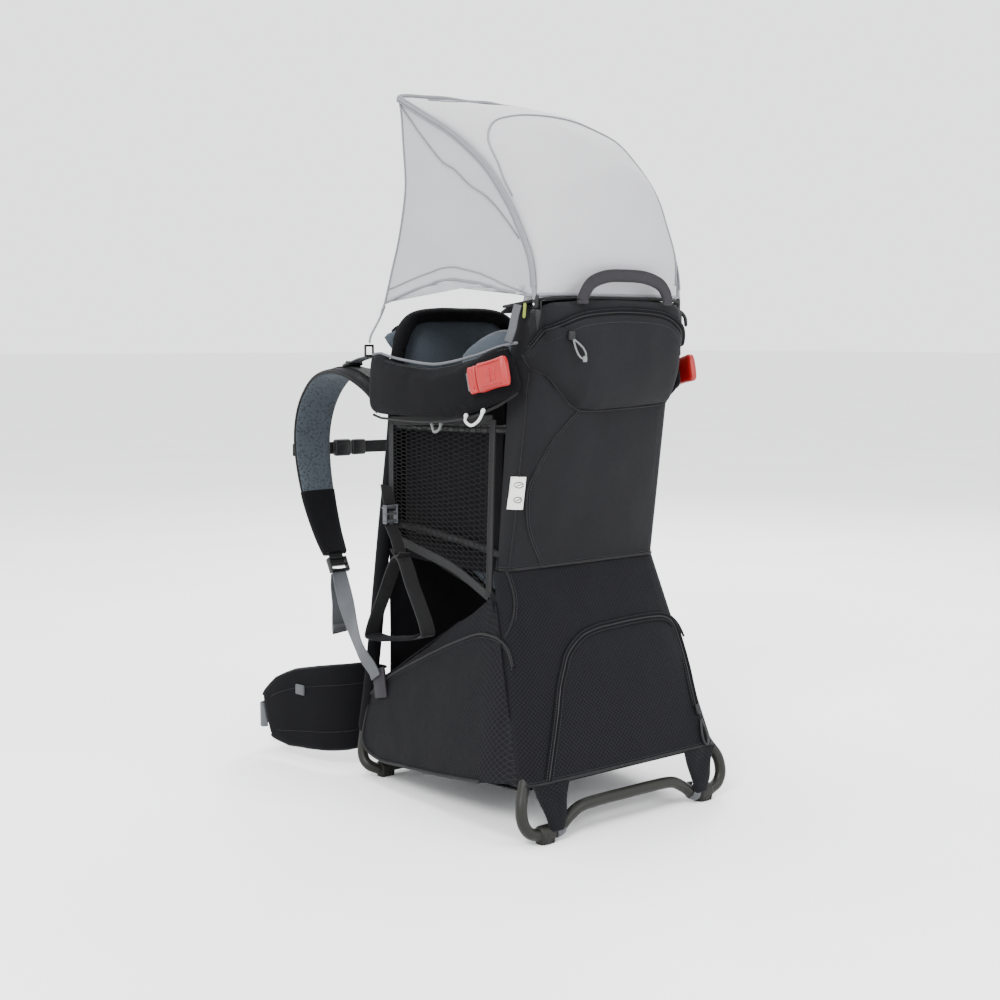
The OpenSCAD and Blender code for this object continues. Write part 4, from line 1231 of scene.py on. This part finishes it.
# A shoulder pad's outer face lies against its side direction
OUTER_FACE = -1


def facing(sign):
    """Material 1 on the half of a pad's ring that faces along its side direction, or against it."""
    return lambda j, m: int((math.cos((j + 0.5) * 2 * math.pi / m)) * sign > 0)


strap_line = [[88, 427, 558], [99, 449, 582], [112, 480, 600], [120, 513, 605], [124, 556, 593],
              [124, 596, 556], [124, 615, 508], [122, 616, 455], [121, 602, 400], [120, 580, 350],
              [120, 557, 316]]
for label, sign in SIDES:
    path, widths = dense(strap_line, [70, 71, 70, 70, 69, 67, 64, 61, 56, 47, 38], 9)
    path = path * (sign, 1, 1)
    rings = pad_on(path, widths, 13, (1, 0, 0), rough=0.8, seed=21)
    pad = Shape().skin(rings, mat=facing(OUTER_FACE))
    pad = pad.put("shoulder_pad_" + label, [SPACER, SMOOTH], "strap_fabric", ["shoulder_strap_" + label],
                  body="harness", sub=1)
    side, wide = frames(path, (1, 0, 0))
    s = Shape()
    for q in (-1, 1):
        s.tube(path + wide * (widths / 2 - 0.8)[:, None] * q, 2.6, n=10)
    sleeve = path[int(len(path) * 0.78):]
    sw = widths[int(len(path) * 0.78):]
    s.skin(rings_along(sleeve, [pad_profile(16.2, w + 4, 30) for w in sw], (1, 0, 0)), mat=1)
    outer = path[6:int(len(path) * 0.8)]
    so = side[6:int(len(path) * 0.8)]
    s.band(outer + so * np.sign(so[:, 2:3].mean() or 1) * 7.6, 25, mat=2)
    s.band(spline(np.array([[120, 566, 334], [120, 558, 318], [120, 551, 307], [120, 548, 300]])
                  * (sign, 1, 1), 4), 25, mat=2)
    s.put("shoulder_strap_binding_" + label, [BINDING, DARK, BLACK_WEB], "strap_fabric", body="harness")

yoke_rows = [[(x, 417.2 + 1.2 * wobble((x, 0, z), 30, 8), z) for x in np.linspace(-108, 108, 30)]
             for z in np.linspace(525, 599, 14)]
spread("harness_yoke_cloth", yoke_rows, 3.2, DARK, ["harness_yoke"], body="harness",
       slot="strap_fabric")

lifter = even(spline([[104, 413.5, 628], [110, 440, 630], [118, 470, 626], [120, 500, 617.5]], 8), 4)
for label, sign in SIDES:
    obj = Shape().band(lifter * (sign, 1, 1), 20)
    obj = obj.put("load_lifter_" + label, [GREY_WEB], "grey_webbing", ["load_lifters"], body=None)
    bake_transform(obj)
spot = dict(turn=rot_x(-15), at=(119, 500, 616))
s = Shape().box((-14, -9, -3), (14, 9, 3), 2, **spot).box((-12, -2, 2), (12, 2, 6), 1.5, **spot)
s.both().put("load_lifter_buckles", [BLACK], "black_plastic", body="harness")

s = Shape()
spot = dict(turn=rot_x(-30), at=(120, 548, 299))
for z in (-12.5, -2.5, 7.5):
    s.box((-16.5, -4.6, z), (16.5, 4.6, z + 4.4), 1.6, **spot)
for x in (-17, 14):
    s.box((x, -5, -13), (x + 3, 5, 12), 1.4, **spot)
s.box((-13, 4, -15), (13, 9, -12), 1.3, **spot)
s.both().put("strap_ladder_locks", [BLACK], "black_plastic", ["ladder_locks"], body="harness")

lower_line = [[121, 545, 292], [128, 522, 266], [138, 496, 246], [160, 440, 214], [176, 394, 190],
              [178.5, 362, 172], [178.5, 352, 160]]
for label, sign in SIDES:
    path = even(spline(lower_line, 8), 5)
    k = np.linspace(0, 1, len(path))
    ups = np.array([mix(np.array([1.0, 0, 0]), np.array([0, 0.5, -1.0]), min(1, 1.4 * q)) for q in k])
    tail = even(spline([[120, 549, 284], [119, 552, 262], [121, 545, 236], [124, 541, 214],
                        [122, 544, 192]], 8), 4)
    s = Shape().band(path, 25, up=ups)
    fold = even(spline([[121, 543, 205], [123, 538, 199], [122, 542, 190]], 6), 3)
    obj = s.on_side(sign).put("lower_strap_webbing_" + label, [GREY_WEB], "grey_webbing",
                              ["lower_straps"], body=None)
    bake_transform(obj)
    s = Shape().band(tail, 25).band(fold, 26)
    s = s.on_side(sign)
    s.put("lower_strap_tail_" + label, [GREY_WEB], "grey_webbing", body="harness")

anchor_rows = []
for v in np.linspace(0, 1, 12):
    anchor_rows.append([mix(np.array([174.5, 338 - 8 * v, 178 - 44 * v]),
                            np.array([174.5, 368 - 8 * v, 166 - 40 * v]), u)
                        + (1.2 * math.sin(math.pi * u), 0, 0) for u in np.linspace(0, 1, 10)])
for label, sign in SIDES:
    rows = np.array(anchor_rows) * (sign, 1, 1)
    spread("strap_anchor_" + label, rows, -2.5 * sign, DARK_WEB, ["strap_anchors"], slot="grey_webbing")

CHEST_Y, CHEST_Z = 629, 478
CHEST_BUCKLE = (-42, CHEST_Y, CHEST_Z)
s = Shape().band([[-152, CHEST_Y, CHEST_Z], [-114, CHEST_Y + 0.3, CHEST_Z - 0.4], [-76, CHEST_Y, CHEST_Z]],
                 20, up=(0, 0, 1))
for z in (-13.5, 10.5):
    s.box((112, -3.2, z), (128, 3.8, z + 3), 1.3, at=(0, CHEST_Y, CHEST_Z), mat=1)
for x in (112, 125):
    s.box((x, -3.2, -13), (x + 3, 3.8, 13), 1.3, at=(0, CHEST_Y, CHEST_Z), mat=1)
s.put("chest_strap_left", [BLACK_WEB, BLACK], "black_webbing", ["sternum_strap"], body="chest_strap")
s = Shape().box((-33, -5.8, -13.8), (-2, 5.8, 13.8), 4, at=CHEST_BUCKLE)
s.box((-28, -7, -7), (-8, -5, 7), 1.6, at=CHEST_BUCKLE)
s.put("chest_buckle_body", [BLACK], "black_plastic", ["sternum_socket"], body="chest_strap")
s = Shape().box((0.6, -4.8, -12.8), (27, 4.8, 12.8), 3.5, at=CHEST_BUCKLE)
s.band([[-14, CHEST_Y, CHEST_Z], [30, CHEST_Y + 0.5, CHEST_Z - 0.6], [90, CHEST_Y, CHEST_Z - 0.3],
        [152, CHEST_Y, CHEST_Z]], 20, up=(0, 0, 1), mat=1)
s.put("chest_strap_right", [BLACK, BLACK_WEB], "black_plastic", ["sternum_clip"], body="chest_clip")

belt_line = [[112, 424, 100], [148, 431, 99], [177, 446, 96], [195, 476, 91], [207, 518, 84],
             [217, 560, 73], [223, 598, 61]]
belt_h = [112, 132, 134, 132, 126, 110, 70]
for label, sign in SIDES:
    path, heights = dense(belt_line, belt_h, 9)
    path = path * (sign, 1, 1)
    cushion("hipbelt_wing_" + label, pad_on(path, heights - 3, 13.5, (0, 0, 1), rough=1.0, seed=31),
            PAD, ["hipbelt_" + label])
    side, wide = frames(path, (0, 0, 1))
    s = Shape()
    for q in (-1, 1):
        s.tube(path + wide * (heights / 2 - 2)[:, None] * q, 2.4, n=10)
    outward = side * np.sign((side * path * (1, 0, 0)).sum(1, keepdims=True))
    for h in (-0.27, 0.27):
        s.stitches((path + outward * 7.2 + wide * (heights * h)[:, None])[6:-6], outward[6:-6], mat=1)
    s.box((-10, -1.5, -8), (10, 2.5, 8), 2, at=(sign * 214, 512, 116), turn=rot_z(80 * sign), mat=2)
    s.put("hipbelt_binding_" + label, [BINDING, THREAD, GREY_WEB], "pad_fabric")

BELT_Y, BELT_Z = 630, 57
BELT_BUCKLE = (0, BELT_Y, BELT_Z)
s = Shape().band(spline([[-224, 603, 60], [-226, 612, 58], [-220, 625, 57], [-203, 630, 57],
                         [-150, 630.5, 56.6], [-96, 630, 57], [-45.5, 630, 57]], 8), 38,
                 up=(0, 0, 1))
s.band(spline([[224, 603, 60], [225, 610, 58], [219, 619, 57], [207, 622, 57], [193.5, 622.5, 57]], 8),
       38, up=(0, 0, 1))
s.put("hipbelt_web", [GREY_WEB], "grey_webbing", ["hipbelt_webbing"])
s = Shape().box((-45, -6.8, -24.8), (-1, 6.8, 24.8), 5, at=BELT_BUCKLE)
s.box((-38, -8, -12), (-12, -6, 12), 2, at=BELT_BUCKLE)
s.put("hipbelt_buckle_body", [BLACK], "black_plastic", ["hipbelt_socket"])
s = Shape().box((0.6, -5.8, -22.8), (33, 5.8, 22.8), 4.5, at=BELT_BUCKLE)
s.band([[32, BELT_Y, BELT_Z], [90, BELT_Y + 0.6, BELT_Z], [150, BELT_Y, BELT_Z], [204, BELT_Y, BELT_Z]],
       38, up=(0, 0, 1), mat=1)
s.put("hipbelt_buckle_tongue", [BLACK, GREY_WEB], "black_plastic", ["hipbelt_clip"], body="belt_clip")
s = Shape()
for z in (-25, 20.5):
    s.box((176, 618.5, z), (193, 635, z + 4.5), 1.8, at=(0, 0, BELT_Z))
for x in (176, 189.5):
    s.box((x, 632, -25), (x + 3.5, 635, 25), 1.2, at=(0, 0, BELT_Z))
s.box((180, 618.3, -25), (189, 621.2, 25), 1.2, at=(0, 0, BELT_Z))
s.put("hipbelt_slider", [BLACK], "black_plastic", ["hipbelt_adjuster"])

# ---- Sunshade --------------------------------------------------------------------------------

SHADE_X, POLE_R, CROWN = 130.0, 2.5, 66.0
shade_line = spline([[SHADE_X, 45, 708], [SHADE_X, 54, 760], [SHADE_X, 84, 812], [SHADE_X, 107, 842],
                     [SHADE_X, 152, 888], [SHADE_X, 221, 934], [SHADE_X, 290, 968],
                     [SHADE_X, 353, 998]], 8)
along = np.array([unit(a) for a in np.gradient(shade_line, axis=0)])
shade_out = np.stack([np.zeros(len(along)), -along[:, 2], along[:, 1]], 1)
SHADE_N = len(shade_line) - 1


def shade_at(i, k, off=0.0):
    """A point on the roof: i runs along the side hoops, k across from -1 to 1."""
    i = min(max(i, 0), SHADE_N)
    a, t = int(min(i, SHADE_N - 1)), i - int(min(i, SHADE_N - 1))
    p, out = mix(shade_line[a], shade_line[a + 1], t), unit(mix(shade_out[a], shade_out[a + 1], t))
    arch = 6 + (CROWN - 6) * math.sin(math.pi * (i / SHADE_N) ** 0.85) ** 1.2
    lift = math.sqrt(max(0, 1 - abs(k) ** 2.4))
    slack = 2.2 * wobble((k * 90, i * 6, 0), 30, 41) * lift
    return np.array([126.3 * k, p[1], p[2]]) + out * (arch * lift + slack + off)


roof_rows = np.array([[shade_at(i, k) for k in np.sin(np.linspace(-math.pi / 2, math.pi / 2, 49))]
                      for i in np.linspace(0, SHADE_N, 60)])
spread("shade_roof", roof_rows, 1.5, SHADE, ["canopy_roof"], body="sunshade", slot="shade_fabric",
       rests_on=["shade_hoops"])


def roof_height(k, z):
    """Where along the roof the line at k reaches this height."""
    i = np.linspace(0, SHADE_N, 80)
    heights = [shade_at(q, k)[2] for q in i]
    return float(np.interp(z, heights, i))


s = Shape()
arch = spline([[-0.995, 842, 0], [-0.985, 880, 0], [-0.93, 922, 0], [-0.75, 948, 0], [-0.45, 959, 0],
               [-0.1, 961, 0], [0.25, 956, 0], [0.5, 943, 0], [0.72, 920, 0], [0.85, 880, 0],
               [0.91, 815, 0], [0.93, 730, 0]], 8)
arch = np.array([shade_at(roof_height(k, z), k, 0.8) for k, z, _ in arch])
s.tube(arch, 1.5, n=8)
s.stitches(arch + (0, -1, 1), (0, -1, 0.6), mat=1)
round_again = np.linspace(0, 2 * math.pi, 60)
brow = np.array([shade_at(SHADE_N * q, k, 0.6) for q, k in
                 zip(0.93 + 0.03 * np.cos(round_again), -0.45 + 0.33 * np.sin(round_again))])
s.tube(brow, 0.9, n=6)
lower = np.array([shade_at(1.0, t, 0.8) for t in np.linspace(-0.98, 0.98, 50)])
s.tube(lower, 2.2, n=8)
s.put("shade_roof_seams", [SHADE_TAPE, SHADE], "shade_fabric", body="sunshade")

s = Shape()
for sign in (-1, 1):
    line = shade_line * (sign, 1, 1)
    s.tube(line, 3.0, n=16)
    s.tube(line[3:] + shade_out[3:] * 3.4 + (sign * 0.6, 0, 0), 1.5, mat=1, n=8)
    s.tube(line[3:] - shade_out[3:] * 3.8 + (sign * 1.2, 0, 0), 1.3, mat=1, n=8)
brim = np.array([shade_at(SHADE_N, k, 1.0) + along[-1] * 3.6
                 for k in np.sin(np.linspace(-math.pi / 2, math.pi / 2, 40))])
s.tube(brim, 3.1, n=16)
s.put("shade_hoops", [HOOP, SHADE_TAPE], "shade_hoop", ["canopy_hoops"], body="sunshade")
s = Shape().box((120.7, 37.2, 662), (131.8, 52.8, 694), 3).box((120.7, 40.2, 693), (123.5, 49.8, 705), 1.3)
s.tube([[122, 45, 700], [131, 45, 700]], 2.0, mat=1, n=16)
s.box((124.5, 40.5, 694), (131.5, 49.5, 712), 3, mat=0)
s.both().put("shade_sockets", [BLACK, STEEL], "black_plastic", ["canopy_sockets"])

HEM = np.array([[50, 711], [90, 716], [128, 723], [160, 730], [200, 735], [243, 739], [310, 729],
                [352, 718], [391, 708]], float)
FRONT = np.array([[353, 996], [346, 960], [339, 900], [340, 855], [357, 796], [375, 748], [391, 708]],
                 float)
front_edge = spline(np.c_[FRONT, np.zeros(len(FRONT))], 8)
side_curve = shade_line[1:, 1:]
curtain_rows = []
cols = 64
top = even(np.c_[np.zeros(len(side_curve)), side_curve], 1.0)[:, 1:]
top = top[np.linspace(0, len(top) - 1, cols).astype(int)]
hem_line = even(np.c_[np.zeros(60), spline(np.c_[HEM, np.zeros(len(HEM))], 9)[:60, :2]], 1.0)[:, 1:]
hem_line = hem_line[np.linspace(0, len(hem_line) - 1, cols).astype(int)]
for v in np.linspace(0, 1, 44):
    row = []
    for j in range(cols):
        t = j / (cols - 1)
        p = mix(top[j], hem_line[j], v)
        if t > 0.55:
            f = np.array([np.interp(v * (len(front_edge) - 1), range(len(front_edge)), front_edge[:, c])
                          for c in (0, 1)])
            p = mix(p, f + (p - mix(top[-1], hem_line[-1], v)), smooth_step(t, 0.55, 1.0))
        fold = (0.5 * v + 1.5 * v ** 4) * math.sin(j * 0.62 + 1.3 * math.sin(j * 0.29))
        slack = 3.5 * wobble((0, p[0], p[1]), 70, 44) * math.sin(math.pi * min(v * 1.2, 1))
        row.append((-(129.5 - 1.5 * (1 - v) + fold * 0.8 + slack), p[0], p[1]))
    curtain_rows.append(row)
curtain_rows = np.array(curtain_rows)
for label, sign in SIDES:
    rows = curtain_rows * (-sign, 1, 1)
    spread("shade_curtain_" + label, rows, -1.0 * sign, SHADE_SIDE, ["canopy_curtains"],
           body="sunshade", slot="shade_fabric", held="gathered", rests_on=["shade_hoops"])
    s = Shape()
    s.tube(rows[-1] + (sign * 0.5, 0, 0), 1.8, n=8)
    s.tube(rows[-5] + (sign * 0.9, 0, 0), 0.8, n=8)
    s.tube(rows[:, -1] + (sign * 0.3, 0, 0), 1.6, n=8)
    arc = []
    for t in np.linspace(0, 1, 60):
        j = int(round(mix(63, 8, t)))
        v = 0.05 + 0.2 * math.sin(math.pi * t) ** 0.7
        arc.append(rows[int(round(v * 43)), j] + (sign * 1.0, 0, 0))
    arc = spline(np.array(arc)[::6], 8)
    s.tube(arc, 1.0, n=8)
    s.stitches(arc + (sign * 0.3, 0, -3.5), (sign, 0, 0), mat=1)
    for d in (-1, 1):
        s.box((-9, -1.2, -1.6), (9, 1.2, 1.6), 0.8, at=rows[-1, 3] + (sign * 1.5, 6, 4 * d + 6), mat=1)
    s.put("shade_curtain_seams_" + label, [SHADE_TAPE, SHADE], "shade_fabric", body="sunshade")
    tie = spline([[SHADE_X, 392, 705], [134, 402, 684], [140, 414, 662], [141, 418, 650]],
                 8) * (sign, 1, 1)
    s = Shape().band(tie, 12, 1.6, up=(0.4, 0.9, 0)).band(tie[:6] + (sign * 1.4, 0, 0), 14, 1.4,
            up=(0.4, 0.9, 0))
    for z in (-9, 6):
        s.box((-8, -2, z), (8, 2, z + 3.4), 1.3, at=(sign * 141, 419, 638), mat=1)
    for x in (-8, 5.5):
        s.box((x, -2, -9), (x + 2.5, 2, 9), 1.1, at=(sign * 141, 419, 638), mat=1)
    s.put("shade_tie_" + label, [SHADE_TAPE, BLACK], "shade_fabric", ["canopy_ties"], body="sunshade")

# ---- Handle, zip pulls, label and small trims ---------------------------------------------------

handle_line = spline([[-77, 12, 705], [-72, 11, 717], [-60, 11, 729], [-34, 12, 737], [0, 12, 738.5],
                      [34, 12, 737], [60, 11, 729], [72, 11, 717], [77, 12, 705]], 8)
s = Shape().skin(rings_along(handle_line, pad_profile(17, 4.6, 28, 0.4), (0, 1, 0)))
handle_side, _ = frames(handle_line, (0, 1, 0))
for q in (-6.4, 6.4):
    for y in (-2.5, 2.5):
        s.stitches(handle_line + handle_side * q + (0, y, 0), (0, y, 0), mat=1)
for x in (-1, 1):
    s.box((-9, -2.8, -2.8), (9, 2.8, 2.8), 2.4, at=(x * 76, 12, 703.5))
s.put("carry_handle_web", [DARK_WEB, THREAD], "grey_webbing", ["grab_handle"], body="carry_handle")

slider_at = np.array([-97.5, 0, 660.2])
slider_y = on_rear(-97.5, 660, 0)[1]


def teardrop(top, down, width, length, normal):
    """A flat cord loop: straight from the slider, then opening into a drop."""
    down, normal = unit(down), unit(normal)
    side = np.cross(down, normal)
    pts = []
    for t in np.linspace(0, 2 * math.pi, 44):
        pts.append(np.asarray(top) + down * length * (0.5 - 0.5 * math.cos(t))
                   + side * width / 2 * math.sin(t) * math.sin(t / 2) ** 1.3)
    return np.array(pts[:-1])


s = Shape().box((-5, -4, -6), (5, 2, 6), 2, at=(-97.5, slider_y - 2.5, 660))
loop_path = teardrop((-96, slider_y - 5, 656), (0.62, -0.02, -0.78), 15, 32, (0, -1, -0.19))
s.tube(loop_path, 1.25, closed=True, mat=1, n=8)
s.box((-3, -2, -4), (3, 2, 4), 1.6, at=loop_path[len(loop_path) // 2] + (0.5, 0, -1), mat=1)
s.put("top_zip_slider_pull", [BLACK, GREY_CORD], "grey_plastic", ["top_zip_pull"], body="top_zip")

door_at = on_door(150, 128, 1.5)
slope = np.array([0, -0.337, -0.9415])
s = Shape().box((-4.6, -3.6, -7), (4.6, 1.6, 7), 1.8, turn=rot_x(-19.7), at=door_at)
s.tube([door_at + (0, -3, -5), door_at + slope * 16 + (0, -2.5, 0)], 1.3, mat=1, n=8)
s.tube(teardrop(door_at + slope * 14 + (0, -2.5, 0), slope, 13, 36, (0, -1, 0.36)), 2.1, closed=True,
       n=10)
s.put("storage_zip_slider_pull", [BLACK, BLACK_WEB], "grey_plastic", ["storage_zip_pull"],
      body="storage_zip")

label_rows = [[on_rear(x, z, 1.2) for x in np.linspace(-135, -122, 10)]
              for z in np.linspace(474, 430, 10)]
spread("sewn_label", label_rows, 0.5, LABEL, rests_on=["upper_rear_wall"])
s = Shape()
for z in (463, 443):
    ring_pts = [on_rear(-128.5 + 3.6 * math.cos(a), z + 3.8 * math.sin(a), 1.7)
                for a in np.linspace(0, 2 * math.pi, 24)[:-1]]
    s.tube(np.array(ring_pts), 0.7, closed=True, n=6)
    s.tube(np.array([on_rear(-128.5 + q, z + 0.6 * q, 1.7) for q in (-2.2, 0, 2.2)]), 0.6, n=6)
s.put("label_marks", [INK], "pack_fabric")

s = Shape()
side_web = spline([[-137, 70, 700], [-141, 72, 684], [-145, 72, 668], [-149, 76, 652]], 6)
s.band(side_web, 16, 1.8, up=(0, 1, 0), mat=0)
s.tube(spline([[-140, 52, 700], [-141.5, 51, 692], [-141.5, 52, 684]], 6), 2.0, mat=1, n=8)
s.tube(spline([[127, 44, 696], [133, 40, 691], [136, 37, 684], [136.5, 36, 675]], 6), 2.6, mat=2, n=8)
s.put("lid_side_trims", [GREY_WEB, LIME, BLACK], "grey_webbing")
s = Shape()
s.tube(spline([[-138, 128, 312], [-139, 126, 304], [-140, 126, 298]], 6), 1.8, n=8)
s.band(spline([[-141.5, 119, 305], [-145, 117, 296], [-147, 116, 288]], 6), 9, 1.6, up=(0, 1, 0), mat=1)
s.both().put("side_small_tabs", [BLACK, GREY_WEB], "grey_webbing")

# CAD parts that show as they are
for node, finish in (("pivot_hubs", BLACK), ("pivot_pins", STEEL)):
    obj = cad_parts[node]
    obj.data.materials.clear()
    obj.data.materials.append(finish)
